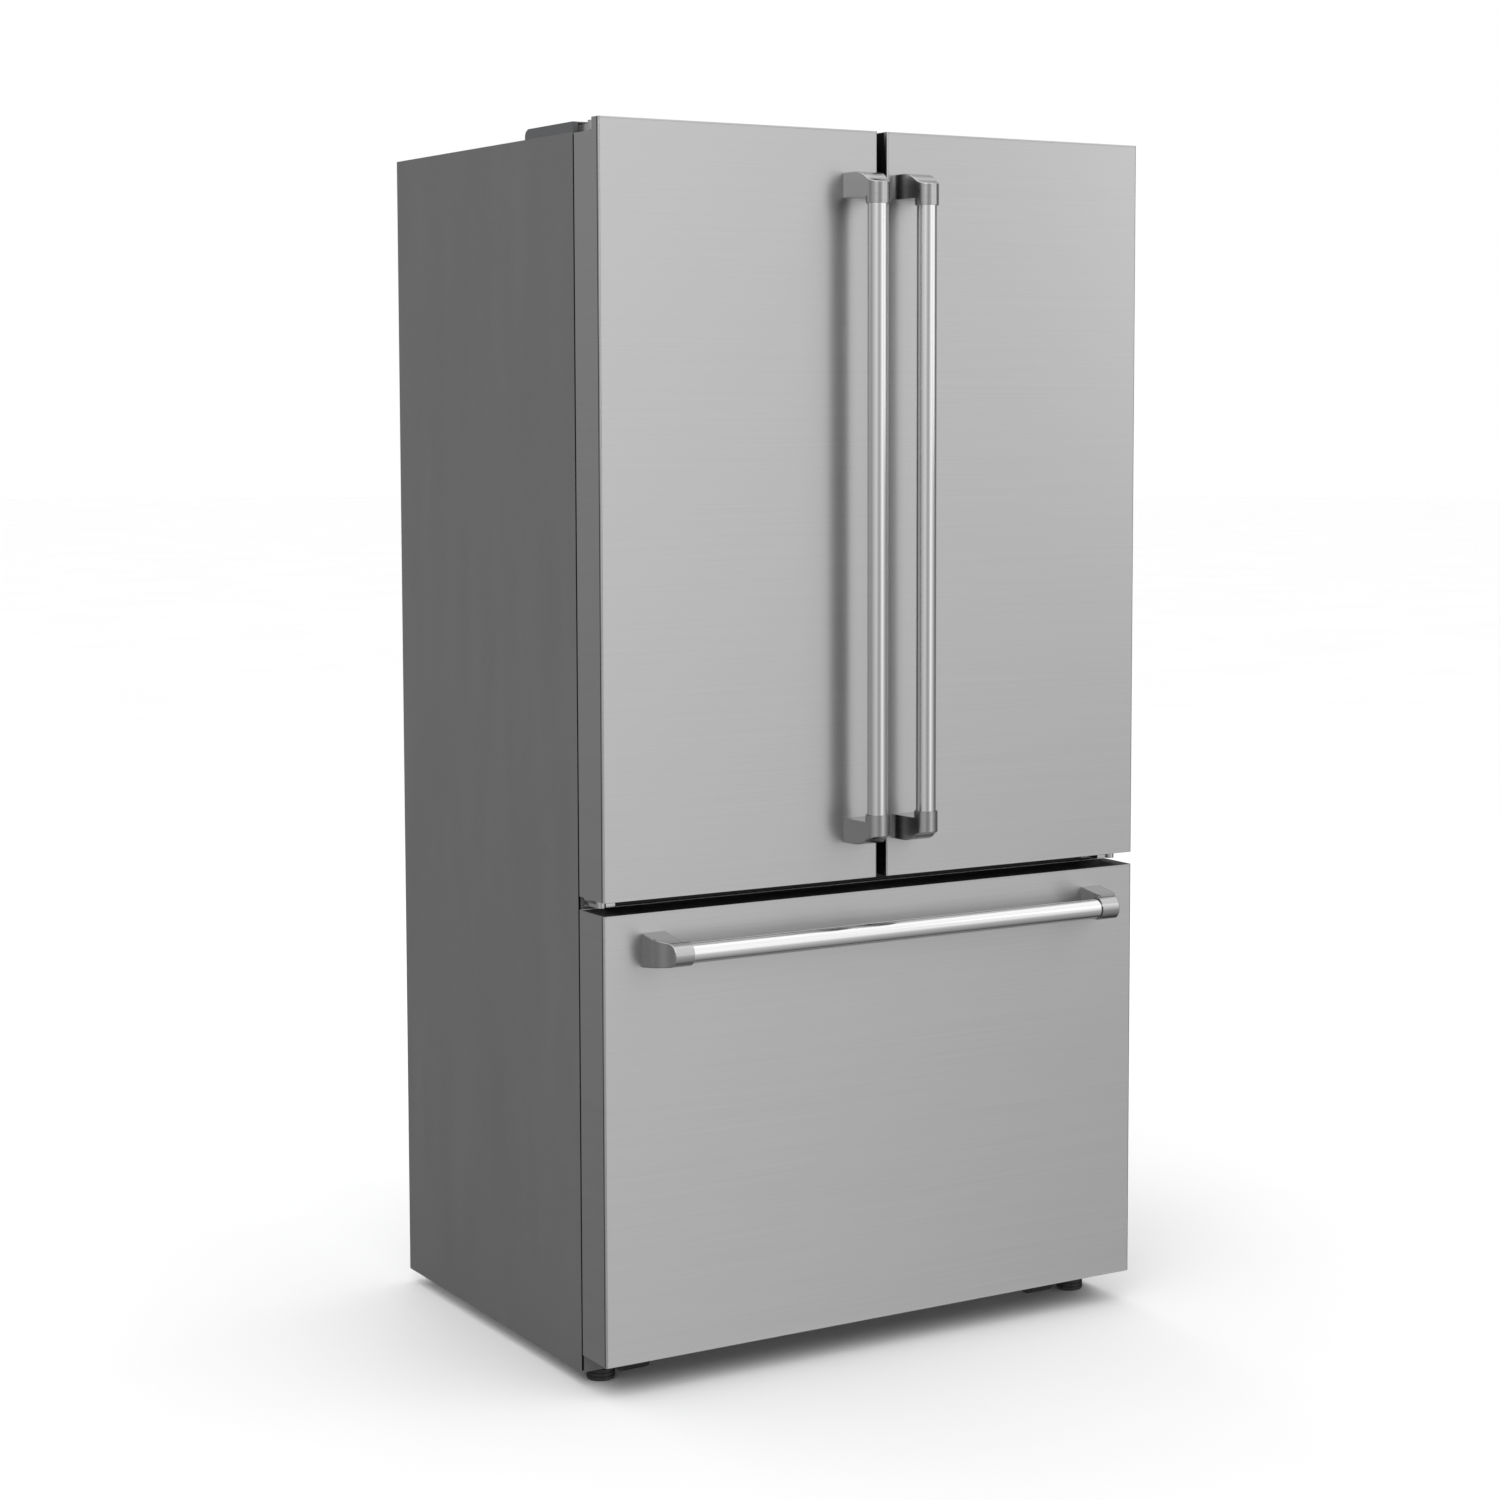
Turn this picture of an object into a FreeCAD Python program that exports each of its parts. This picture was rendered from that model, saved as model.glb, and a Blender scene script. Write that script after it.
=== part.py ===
import FreeCAD, Part
import math
import os
import re

import Sketcher

# French door refrigerator, in millimetres.
# +X is the viewer's right, the doors face -Y, +Z is up, and the floor is z = 0.

DIMENSIONS = {
    # cabinet
    "half_width": 454,
    "cabinet_front": -228.5,
    "cabinet_rear": 376.5,
    "cabinet_bottom": 19.5,
    "cabinet_top": 1760,
    "sheet": 1,
    "front_flange": 24,
    "rear_flange": 15,
    # doors and drawer front
    "door_front": -305.5,
    "door_back": -232.5,
    "door_bottom": 702.3,
    "door_top": 1776.1,
    "door_inner_edge": 8,
    "drawer_bottom": 46.3,
    "drawer_top": 683.4,
    "edge_radius": 3,
    "liner_wall": 2.5,
    "cap_height": 18,
    "cap_wall": 3,
    "cap_inset": 0.6,
    # door hinges
    "pin_x": 439,
    "pin_y": -268.5,
    "pin_radius": 5,
    "bore_radius": 5.05,
    "recess_front": -285.5,
    "recess_floor": 1758.5,
    "recess_width": 78,
    "hinge_plate": 4,
    "arm_outer": 6,
    "arm_inner": 26,
    "boss_radius": 11,
    "cover_length": 150,
    "cover_width": 64,
    "cover_top": 1774.4,
    "cover_wall": 2,
    # compartments
    "cavity_half": 400,
    "lip_half": 430,
    "cavity_rear": 314,
    "fridge_floor": 730,
    "fridge_ceiling": 1722,
    "fridge_lip_low": 715,
    "fridge_lip_high": 1735,
    "freezer_floor": 95,
    "freezer_ceiling": 655,
    "freezer_lip_low": 82,
    "freezer_lip_high": 668,
    "step_height": 305,
    "step_front": 140,
    "crossbar_back": -190,
    # door inner side
    "dyke_outer": 385,
    "dyke_inner": 58,
    "dyke_width": 22,
    "dyke_depth": 30,
    "dyke_low": 752,
    "dyke_high": 1700,
    "gasket_outer": 428,
    "gasket_depth": 3.7,
    "gasket_width": 14,
    # handles
    "handle_x": 41.3,
    "handle_reach": 53.6,
    "tube_radius": 14.5,
    "tube_wall": 1.5,
    "tube_set_back": 20,
    "edge_round": 1.4,
    "grub_reach": 13,
    "grub_inner": 15,
    "grub_outer": 30,
    "grub_radius": 2.5,
    "cap_radius": 17.2,
    "bracket_half_base": 24.2,
    "post_width": 35.5,
    "bracket_length": 45.3,
    "nose_set_back": 15,
    "flat_reach": 25,
    "handle_low": 757.1,
    "handle_high": 1715.5,
    "drawer_handle_half": 394.5,
    "drawer_handle_z": 631.4,
    # flip mullion
    "mullion_left": 26,
    "mullion_right": 4.5,
    "mullion_front": -227.5,
    "mullion_back": -213.5,
    "mullion_low": 733,
    "mullion_high": 1718,
    "mullion_pin_x": -21,
    "mullion_pin_y": -220.5,
    "mullion_pin_radius": 2,
    "knuckle_radius": 4.2,
    "knuckle_height": 20,
    # fridge interior
    "shelf_front": -110,
    "shelf_back": 290,
    "glass": 4,
    "shelf_rim": 12,
    "crisper_top": 921,
    "crisper_wall": 3,
    # freezer slides
    "slide_z": 340,
    "basket_half": 378,
    "basket_front": -208,
    "basket_back": 125,
    "basket_low": 104,
    "basket_top": 465,
    # under the cabinet
    "foot_x": 413,
    "foot_y": -206.5,
    "foot_radius": 20.5,
    "roller_x": 357,
    "roller_y": -195,
    "roller_radius": 20,
    "roller_half": 20,
    "axle_radius": 4,
    "rear_roller_x": 412,
    "rear_roller_y": 330,
    "rear_roller_radius": 11.5,
    # machine compartment
    "machine_front": 187,
    "machine_top": 262,
    "pan_level": 42,
    "base_plate_low": 24,
    "base_plate_high": 27,
    "compressor_x": -280,
    "compressor_y": 282,
    "compressor_radius": 72,
    "shell_low": 70,
    "shell_high": 166,
    "dome_height": 34,
    "coil_left": 75,
    "coil_right": 326,
    "coil_front": 235,
    "coil_top": 190,
    "fan_x": 10,
    "fan_y": 282,
    "fan_z": 118,
    "fan_radius": 56,
    "blade_width": 18,
    "blade_thickness": 2,
    "blade_root": 11,
}

doc = FreeCAD.newDocument("french_door_refrigerator")
size = doc.addObject("Spreadsheet::Sheet", "Size")
for row, (alias, value) in enumerate(DIMENSIONS.items(), start=1):
    size.set(f"A{row}", alias)
    size.set(f"B{row}", str(value))
    size.setAlias(f"B{row}", alias)
doc.recompute()

NODES = []


def linked(text):
    """Put the spreadsheet's name in front of each of its aliases."""
    return re.sub(r"[a-z]\w*", lambda m: "Size." + m[0] if m[0] in DIMENSIONS else m[0], str(text))


def number(text):
    """The value of an expression of aliases, in millimetres."""
    return float(size.evalExpression(linked(text)))


def bind(thing, prop, text):
    thing.setExpression(prop, linked(text))


def node(thing, name):
    """Mark a document object as a sub-part that is handed in."""
    thing.Label = name
    NODES.append(thing)
    return thing


# ---- primitives and booleans ----


def box(name, x, y, z):
    """A box between three pairs of planes."""
    solid = doc.addObject("Part::Box", name)
    for prop, axis, (low, high) in zip(("Length", "Width", "Height"), "xyz", (x, y, z)):
        bind(solid, prop, f"({high}) - ({low})")
        bind(solid, f"Placement.Base.{axis}", low)
    return solid


TURN = {
    "x": FreeCAD.Rotation(FreeCAD.Vector(0, 1, 0), 90),
    "y": FreeCAD.Rotation(FreeCAD.Vector(1, 0, 0), -90),
    "z": FreeCAD.Rotation(),
}


def cylinder(name, axis, centre, low, high, radius):
    """A cylinder along one axis between two planes; centre gives the other two coordinates."""
    solid = doc.addObject("Part::Cylinder", name)
    solid.Placement = FreeCAD.Placement(FreeCAD.Vector(), TURN[axis])
    bind(solid, "Radius", radius)
    bind(solid, "Height", f"({high}) - ({low})")
    across = iter(centre)
    for letter in "xyz":
        bind(solid, f"Placement.Base.{letter}", low if letter == axis else next(across))
    return solid


def fuse(name, solids):
    joined = doc.addObject("Part::MultiFuse", name)
    joined.Shapes = solids
    joined.Refine = True
    return joined


def cut(name, base, tools):
    result = doc.addObject("Part::Cut", name)
    result.Base = base
    result.Tool = tools[0] if len(tools) == 1 else fuse(name + "_tools", tools)
    result.Refine = True
    return result


def group(name, solids):
    """Several loose solids of one node."""
    together = doc.addObject("Part::Compound", name)
    together.Links = solids
    return together


# ---- sketches ----


def outline(sketch, loop):
    """Draw one closed loop: a list of corner expressions, or ("circle", u, v, radius)."""
    if loop[0] == "circle":
        _, u, v, radius = loop
        circle = sketch.addGeometry(
            Part.Circle(
                FreeCAD.Vector(number(u), number(v), 0), FreeCAD.Vector(0, 0, 1), number(radius)
            ),
            False,
        )
        for kind, point, value in (("DistanceX", 3, u), ("DistanceY", 3, v)):
            rule = sketch.addConstraint(Sketcher.Constraint(kind, -1, 1, circle, point, 1.0))
            bind(sketch, f"Constraints[{rule}]", value)
        rule = sketch.addConstraint(Sketcher.Constraint("Radius", circle, 1.0))
        bind(sketch, f"Constraints[{rule}]", radius)
        return
    first = sketch.GeometryCount
    corners = [FreeCAD.Vector(number(u), number(v), 0) for u, v in loop]
    count = len(corners)
    for index, corner in enumerate(corners):
        sketch.addGeometry(Part.LineSegment(corner, corners[(index + 1) % count]), False)
    for index in range(count):
        following = first + (index + 1) % count
        sketch.addConstraint(Sketcher.Constraint("Coincident", first + index, 2, following, 1))
    for index, (u, v) in enumerate(loop):
        for kind, value in (("DistanceX", u), ("DistanceY", v)):
            rule = sketch.addConstraint(Sketcher.Constraint(kind, -1, 1, first + index, 1, 1.0))
            bind(sketch, f"Constraints[{rule}]", value)


def rectangle(u0, u1, v0, v1):
    return [(u0, v0), (u1, v0), (u1, v1), (u0, v1)]


class Body:
    """A PartDesign body whose features run between two planes across one base plane."""

    def __init__(self, name):
        self.body = doc.addObject("PartDesign::Body", name)
        self.name = name
        self.steps = 0

    def sketch(self, plane, low, high, loops):
        self.steps += 1
        sketch = self.body.newObject("Sketcher::SketchObject", f"{self.name}_sketch_{self.steps}")
        role = plane + "_Plane"
        base = [f for f in self.body.Origin.OriginFeatures if f.Role == role][0]
        sketch.AttachmentSupport = [(base, "")]
        sketch.MapMode = "FlatFace"
        # The XZ plane's normal points to -Y, so its features start at the higher plane.
        start = f"-({high})" if plane == "XZ" else low
        bind(sketch, "AttachmentOffset.Base.z", start)
        for loop in loops:
            outline(sketch, loop)
        return sketch

    def pad(self, plane, low, high, *loops):
        sketch = self.sketch(plane, low, high, loops)
        feature = self.body.newObject("PartDesign::Pad", f"{self.name}_pad_{self.steps}")
        feature.Profile = sketch
        bind(feature, "Length", f"({high}) - ({low})")
        sketch.Visibility = False
        doc.recompute()
        return self

    def pocket(self, plane, low, high, *loops):
        sketch = self.sketch(plane, low, high, loops)
        feature = self.body.newObject("PartDesign::Pocket", f"{self.name}_pocket_{self.steps}")
        feature.Profile = sketch
        feature.Reversed = True
        bind(feature, "Length", f"({high}) - ({low})")
        sketch.Visibility = False
        doc.recompute()
        return self

    def fillet(self, radius, axis, chosen):
        """Round the straight edges along one axis whose end points both pass the test."""
        self.steps += 1
        tip = self.body.Tip
        names = []
        for index, edge in enumerate(tip.Shape.Edges, start=1):
            if len(edge.Vertexes) != 2 or not all(chosen(v.Point) for v in edge.Vertexes):
                continue
            run = edge.Vertexes[1].Point - edge.Vertexes[0].Point
            if abs(abs(getattr(run, axis)) - run.Length) < 0.01:
                names.append(f"Edge{index}")
        feature = self.body.newObject("PartDesign::Fillet", f"{self.name}_fillet_{self.steps}")
        feature.Base = (tip, names)
        bind(feature, "Radius", radius)
        doc.recompute()
        return self


def near(value, text):
    return abs(value - number(text)) < 0.01


def side_name(side):
    return "left" if side < 0 else "right"


def span(side, inner, outer):
    """Low and high x of a strip that lies between two distances from the centre plane."""
    if side < 0:
        return f"-({outer})", f"-({inner})"
    return f"{inner}", f"{outer}"


# ---- cabinet shell ----


def side_panel(side):
    """One side sheet with its front and rear flanges turned inwards."""
    s = "-1" if side < 0 else "1"
    panel = Body(f"{side_name(side)}_side_panel")
    profile = [
        (f"{s} * half_width", "cabinet_front"),
        (f"{s} * half_width", "cabinet_rear"),
        (f"{s} * (half_width - rear_flange)", "cabinet_rear"),
        (f"{s} * (half_width - rear_flange)", "cabinet_rear - sheet"),
        (f"{s} * (half_width - sheet)", "cabinet_rear - sheet"),
        (f"{s} * (half_width - sheet)", "cabinet_front + sheet"),
        (f"{s} * (half_width - front_flange)", "cabinet_front + sheet"),
        (f"{s} * (half_width - front_flange)", "cabinet_front"),
    ]
    panel.pad("XY", "cabinet_bottom", "cabinet_top", profile)
    node(panel.body, panel.name)


for side in (-1, 1):
    side_panel(side)

top = Body("top_panel")
top.pad(
    "YZ",
    "-half_width + sheet",
    "half_width - sheet",
    [
        ("cabinet_front + sheet", "cabinet_top"),
        ("cabinet_rear - sheet", "cabinet_top"),
        ("cabinet_rear - sheet", "cabinet_top - sheet"),
        ("cabinet_front + 2 * sheet", "cabinet_top - sheet"),
        ("cabinet_front + 2 * sheet", "fridge_lip_high"),
        ("cabinet_front + sheet", "fridge_lip_high"),
    ],
)
node(top.body, "top_panel")

back = Body("back_panel")
back.pad(
    "XZ",
    "cabinet_rear - 2 * sheet",
    "cabinet_rear - sheet",
    rectangle("-half_width + sheet", "half_width - sheet", "machine_top", "cabinet_top - sheet"),
)
for x in ("-300", "-100", "100", "300"):
    back.pad(
        "XZ",
        "cabinet_rear - sheet",
        "cabinet_rear",
        rectangle(f"{x} - 60", f"{x} + 60", "machine_top + 90", "cabinet_top - 110"),
    )
node(back.body, "back_panel")

# The bottom panel runs back under the freezer, up over the machine compartment and to the
# back panel.  The compressor's base plate is welded to its side flanges.
bottom = Body("bottom_panel")
bottom.pad(
    "YZ",
    "-half_width + sheet",
    "half_width - sheet",
    [
        ("cabinet_front + 2 * sheet", "pan_level"),
        ("machine_front", "pan_level"),
        ("machine_front", "base_plate_low"),
        ("cabinet_rear - 2 * sheet", "base_plate_low"),
        ("cabinet_rear - 2 * sheet", "base_plate_high"),
        ("machine_front + sheet", "base_plate_high"),
        ("machine_front + sheet", "machine_top - sheet"),
        ("cabinet_rear - 2 * sheet", "machine_top - sheet"),
        ("cabinet_rear - 2 * sheet", "machine_top"),
        ("machine_front", "machine_top"),
        ("machine_front", "pan_level + sheet"),
        ("cabinet_front + 2 * sheet", "pan_level + sheet"),
    ],
)
node(bottom.body, "bottom_panel")

rail = Body("base_rail")
rail.pad(
    "YZ",
    "-lip_half",
    "lip_half",
    [
        ("cabinet_front", "cabinet_bottom"),
        ("crossbar_back + 8", "cabinet_bottom"),
        ("crossbar_back + 8", "cabinet_bottom + 2 * sheet"),
        ("cabinet_front + 2 * sheet", "cabinet_bottom + 2 * sheet"),
        ("cabinet_front + 2 * sheet", "freezer_lip_low"),
        ("cabinet_front", "freezer_lip_low"),
    ],
)
for side in (-1, 1):
    low, high = span(side, "roller_x - roller_half - 8", "roller_x + roller_half + 8")
    rail.pocket(
        "XY",
        "cabinet_bottom - 1",
        "cabinet_bottom + 3 * sheet",
        rectangle(low, high, "roller_y - roller_radius - 3", "crossbar_back + 10"),
    )
    foot_centre = span(side, "foot_x", "foot_x")[0]
    rail.pocket(
        "XY",
        "cabinet_bottom - 1",
        "cabinet_bottom + 3 * sheet",
        ("circle", foot_centre, "foot_y", "bore_radius"),
    )
node(rail.body, "base_rail")

crossbar = Body("crossbar_channel")
crossbar.pad(
    "YZ",
    "-lip_half",
    "lip_half",
    [
        ("cabinet_front", "freezer_lip_high"),
        ("crossbar_back", "freezer_lip_high"),
        ("crossbar_back", "freezer_lip_high + 2 * sheet"),
        ("cabinet_front + 2 * sheet", "freezer_lip_high + 2 * sheet"),
        ("cabinet_front + 2 * sheet", "fridge_lip_low - 2 * sheet"),
        ("crossbar_back", "fridge_lip_low - 2 * sheet"),
        ("crossbar_back", "fridge_lip_low"),
        ("cabinet_front", "fridge_lip_low"),
    ],
)
crossbar_parts = [crossbar.body]
for side in (-1, 1):
    label = side_name(side)
    # Anchor block of the middle hinge, with two round bolt heads.
    crossbar_parts.append(
        box(
            f"{label}_anchor",
            span(side, "half_width - 113", "pin_x - 27"),
            ("cabinet_front - 2.8", "cabinet_front"),
            ("drawer_top + 2", "door_bottom - 1.5"),
        )
    )
    for index, inset in enumerate(("100", "64")):
        x = span(side, f"half_width - {inset}", f"half_width - {inset}")[0]
        crossbar_parts.append(
            cylinder(
                f"{label}_anchor_bolt_{index}",
                "y",
                (x, "drawer_top + 9.5"),
                "cabinet_front - 7",
                "cabinet_front - 1",
                "6.5",
            )
        )
node(fuse("front_crossbar", crossbar_parts), "front_crossbar")


# ---- compartment liners and foam ----

LEDGE_LEVELS = ("1190", "1450")
COVER_LEVEL = "938"

liner = Body("fridge_liner")
liner.pad(
    "XZ",
    "cabinet_front",
    "cavity_rear + liner_wall",
    rectangle(
        "-cavity_half - liner_wall",
        "cavity_half + liner_wall",
        "fridge_floor - liner_wall",
        "fridge_ceiling + liner_wall",
    ),
)
liner.pad(
    "XZ",
    "cabinet_front",
    "cabinet_front + liner_wall",
    rectangle("-lip_half", "lip_half", "fridge_lip_low", "fridge_lip_high"),
)
liner.pocket(
    "XZ",
    "cabinet_front - 1",
    "cavity_rear",
    rectangle("-cavity_half", "cavity_half", "fridge_floor", "fridge_ceiling"),
)
liner.fillet(
    "20",
    "z",
    lambda p: near(p.y, "cavity_rear") and abs(p.x) < number("cavity_half + 1"),
)
for level in LEDGE_LEVELS + (COVER_LEVEL,):
    for side in (-1, 1):
        low, high = span(side, "cavity_half - 10", "cavity_half")
        liner.pad(
            "XZ",
            "shelf_front",
            "shelf_back - 20",
            rectangle(low, high, f"{level} - 14", f"{level} - 6"),
        )
# Guide block for the flip mullion, under the ceiling at the front.
liner.pad(
    "XY",
    "fridge_ceiling - 3",
    "fridge_ceiling",
    rectangle("-24", "24", "cabinet_front + 6", "cabinet_front + 70"),
)
node(liner.body, "fridge_liner")


def step_profile(grow, front):
    """The freezer cavity's side view: a box with a step over the machine compartment."""
    return [
        (front, f"freezer_floor - {grow}"),
        (f"step_front + {grow} - liner_wall", f"freezer_floor - {grow}"),
        (f"step_front + {grow} - liner_wall", f"step_height + liner_wall - {grow}"),
        (f"cavity_rear + {grow}", f"step_height + liner_wall - {grow}"),
        (f"cavity_rear + {grow}", f"freezer_ceiling + {grow}"),
        (front, f"freezer_ceiling + {grow}"),
    ]


freezer = Body("freezer_liner")
freezer.pad(
    "YZ",
    "-cavity_half - liner_wall",
    "cavity_half + liner_wall",
    step_profile("liner_wall", "cabinet_front"),
)
freezer.pad(
    "XZ",
    "cabinet_front",
    "cabinet_front + liner_wall",
    rectangle("-lip_half", "lip_half", "freezer_lip_low", "freezer_lip_high"),
)
freezer.pocket("YZ", "-cavity_half", "cavity_half", step_profile("0", "cabinet_front - 1"))
node(freezer.body, "freezer_liner")

foam = Body("insulation_foam")
foam.pad(
    "YZ",
    "-half_width + sheet",
    "half_width - sheet",
    [
        ("cabinet_front + liner_wall", "pan_level + sheet"),
        ("machine_front", "pan_level + sheet"),
        ("machine_front", "machine_top"),
        ("cabinet_rear - 2 * sheet", "machine_top"),
        ("cabinet_rear - 2 * sheet", "cabinet_top - sheet"),
        ("cabinet_front + liner_wall", "cabinet_top - sheet"),
    ],
)
foam.pocket(
    "XZ",
    "cabinet_front - 1",
    "cavity_rear + liner_wall",
    rectangle(
        "-cavity_half - liner_wall",
        "cavity_half + liner_wall",
        "fridge_floor - liner_wall",
        "fridge_ceiling + liner_wall",
    ),
)
foam.pocket(
    "YZ",
    "-cavity_half - liner_wall",
    "cavity_half + liner_wall",
    step_profile("liner_wall", "cabinet_front - 1"),
)
foam.pocket(
    "YZ",
    "-lip_half",
    "lip_half",
    rectangle("cabinet_front - 1", "crossbar_back", "freezer_lip_high", "fridge_lip_low"),
)
node(foam.body, "insulation_foam")


# ---- hinges ----


def hinge_cover(side):
    """A shallow hood on the cabinet's top corner, open below and at the front."""
    name = f"{side_name(side)}_hinge_cover"
    hood = Body(name)
    low, high = span(side, "half_width - cover_width", "half_width")
    hood.pad(
        "YZ",
        low,
        high,
        [
            ("cabinet_front", "cabinet_top"),
            ("cabinet_front + cover_length", "cabinet_top"),
            ("cabinet_front + cover_length", "cabinet_top + 6"),
            ("cabinet_front + cover_length - 3", "cabinet_top + 11"),
            ("cabinet_front + cover_length - 10", "cover_top"),
            ("cabinet_front", "cover_top"),
        ],
    )
    low, high = span(side, "half_width - cover_width + cover_wall", "half_width - cover_wall")
    hood.pocket(
        "YZ",
        low,
        high,
        rectangle(
            "cabinet_front - 1",
            "cabinet_front + cover_length - 12",
            "cabinet_top - 1",
            "cover_top - cover_wall",
        ),
    )
    hood.fillet(
        "4",
        "y",
        lambda p: near(p.z, "cover_top") and near(abs(p.x), "half_width - cover_width"),
    )
    return hood.body


node(group("hinge_covers", [hinge_cover(side) for side in (-1, 1)]), "hinge_covers")


def top_hinge(side):
    """Plate on the cabinet's top with an arm out over the door and a pin down into it."""
    name = f"{side_name(side)}_top_hinge"
    s = "-1" if side < 0 else "1"
    pin = (f"{s} * pin_x", "pin_y")
    plate = box(
        name + "_plate",
        span(side, "pin_x - arm_inner", "pin_x + arm_outer"),
        ("pin_y", "cabinet_front + 110"),
        ("cabinet_top", "cabinet_top + hinge_plate"),
    )
    boss = cylinder(name + "_boss", "z", pin, "cabinet_top", "cover_top - 1", "boss_radius")
    trim = box(
        name + "_trim",
        span(side, "pin_x + arm_outer", "pin_x + 30"),
        ("pin_y + 2", "cabinet_front"),
        ("cabinet_top - 1", "cover_top + 1"),
    )
    arm = box(
        name + "_arm",
        span(side, "pin_x - 9", "pin_x + arm_outer"),
        ("pin_y", "cabinet_front + 4"),
        ("cabinet_top", "cabinet_top + 10"),
    )
    shank = cylinder(name + "_pin", "z", pin, "cabinet_top - 32", "cabinet_top + 2", "pin_radius")
    bolts = [
        cylinder(
            f"{name}_bolt_{index}",
            "z",
            (f"{s} * (pin_x - 10)", y),
            "cabinet_top + hinge_plate",
            "cabinet_top + hinge_plate + 5",
            "6",
        )
        for index, y in enumerate(("cabinet_front + 30", "cabinet_front + 90"))
    ]
    solid = fuse(name + "_solid", [plate, boss, arm, shank] + bolts)
    return cut(name, solid, [trim])


def middle_hinge(side):
    """Bright tongue in the gap between door and drawer, with a pin up into the door."""
    name = f"{side_name(side)}_middle_hinge"
    s = "-1" if side < 0 else "1"
    pin = (f"{s} * pin_x", "pin_y")
    tongue = box(
        name + "_tongue",
        span(side, "pin_x - 22", "pin_x + 7"),
        ("pin_y", "cabinet_front"),
        ("drawer_top + 6.5", "drawer_top + 11.5"),
    )
    root = box(
        name + "_root",
        span(side, "pin_x - 26", "pin_x + 7"),
        ("cabinet_front - 3", "cabinet_front"),
        ("drawer_top + 3", "door_bottom - 1.5"),
    )
    tip = cylinder(name + "_tip", "z", pin, "drawer_top + 6.5", "drawer_top + 11.5", "7")
    washer = cylinder(name + "_washer", "z", pin, "drawer_top + 11.5", "door_bottom - 0.4", "7")
    shank = cylinder(name + "_pin", "z", pin, "drawer_top + 8", "door_bottom + 24", "pin_radius")
    return fuse(name, [tongue, root, tip, washer, shank])


hinges = [top_hinge(side) for side in (-1, 1)] + [middle_hinge(side) for side in (-1, 1)]
node(group("hinge_plates", hinges), "hinge_plates")


# ---- fridge interior ----

duct = Body("air_duct_panel")
duct.pad(
    "XZ",
    "cavity_rear - 20",
    "cavity_rear",
    rectangle("-85", "85", "fridge_floor + 225", "fridge_ceiling - 60"),
)
duct.fillet("8", "z", lambda p: near(p.y, "cavity_rear - 20"))
for level in ("1020", "1100", "1270", "1350", "1530", "1600"):
    for x in ("-60", "20"):
        duct.pocket(
            "XZ",
            "cavity_rear - 21",
            "cavity_rear - 6",
            rectangle(x, f"{x} + 40", level, f"{level} + 8"),
        )
node(duct.body, "air_duct_panel")

light = Body("light_housing")
light.pad(
    "YZ",
    "-150",
    "150",
    [
        ("-90", "fridge_ceiling"),
        ("70", "fridge_ceiling"),
        ("55", "fridge_ceiling - 22"),
        ("-75", "fridge_ceiling - 22"),
    ],
)
for x in ("-95", "35"):
    light.pocket(
        "XY",
        "fridge_ceiling - 23",
        "fridge_ceiling - 18",
        rectangle(x, f"{x} + 60", "-50", "30"),
    )
node(light.body, "light_housing")


def shelf_frame(name, level):
    """Moulded rim round a glass plate."""
    frame = Body(name)
    frame.pad(
        "XY",
        f"{level} - 6",
        f"{level} + 8",
        rectangle("-cavity_half + 3", "cavity_half - 3", "shelf_front", "shelf_back"),
    )
    frame.pocket(
        "XY",
        f"{level} - 7",
        f"{level} + 9",
        rectangle(
            "-cavity_half + 3 + shelf_rim",
            "cavity_half - 3 - shelf_rim",
            "shelf_front + shelf_rim",
            "shelf_back - shelf_rim",
        ),
    )
    frame.pocket(
        "XY",
        level,
        f"{level} + glass",
        rectangle(
            "-cavity_half + 9",
            "cavity_half - 9",
            "shelf_front + 5",
            "shelf_back - 5",
        ),
    )
    return frame.body


LEVELS = LEDGE_LEVELS + (COVER_LEVEL,)
frames = [shelf_frame(f"shelf_frame_{index}", level) for index, level in enumerate(LEVELS)]
node(group("shelf_frames", frames), "shelf_frames")
plates = [
    box(
        f"shelf_plate_{index}",
        ("-cavity_half + 9", "cavity_half - 9"),
        ("shelf_front + 5", "shelf_back - 5"),
        (level, f"{level} + glass"),
    )
    for index, level in enumerate(LEVELS)
]
node(group("shelf_glass", plates), "shelf_glass")


for side in (-1, 1):
    name = f"{side_name(side)}_crisper"
    x = span(side, "4", "cavity_half - 5")
    y = ("shelf_front + 2", "shelf_back - 8")
    z = ("fridge_floor + 6", "crisper_top")
    crisper = Body(name)
    crisper.pad("XY", z[0], z[1], rectangle(x[0], x[1], y[0], y[1]))
    crisper.pocket(
        "XY",
        f"{z[0]} + crisper_wall",
        f"{z[1]} + 1",
        rectangle(
            f"{x[0]} + crisper_wall",
            f"{x[1]} - crisper_wall",
            f"{y[0]} + crisper_wall",
            f"{y[1]} - crisper_wall",
        ),
    )
    # Pull lip along the top of the front wall.
    crisper.pad(
        "YZ",
        f"{x[0]} + 20",
        f"{x[1]} - 20",
        [
            ("shelf_front + 2", "crisper_top - 22"),
            ("shelf_front - 14", "crisper_top - 6"),
            ("shelf_front - 14", "crisper_top"),
            ("shelf_front + 2", "crisper_top"),
        ],
    )
    node(crisper.body, name)


# ---- doors and drawer front ----


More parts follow.
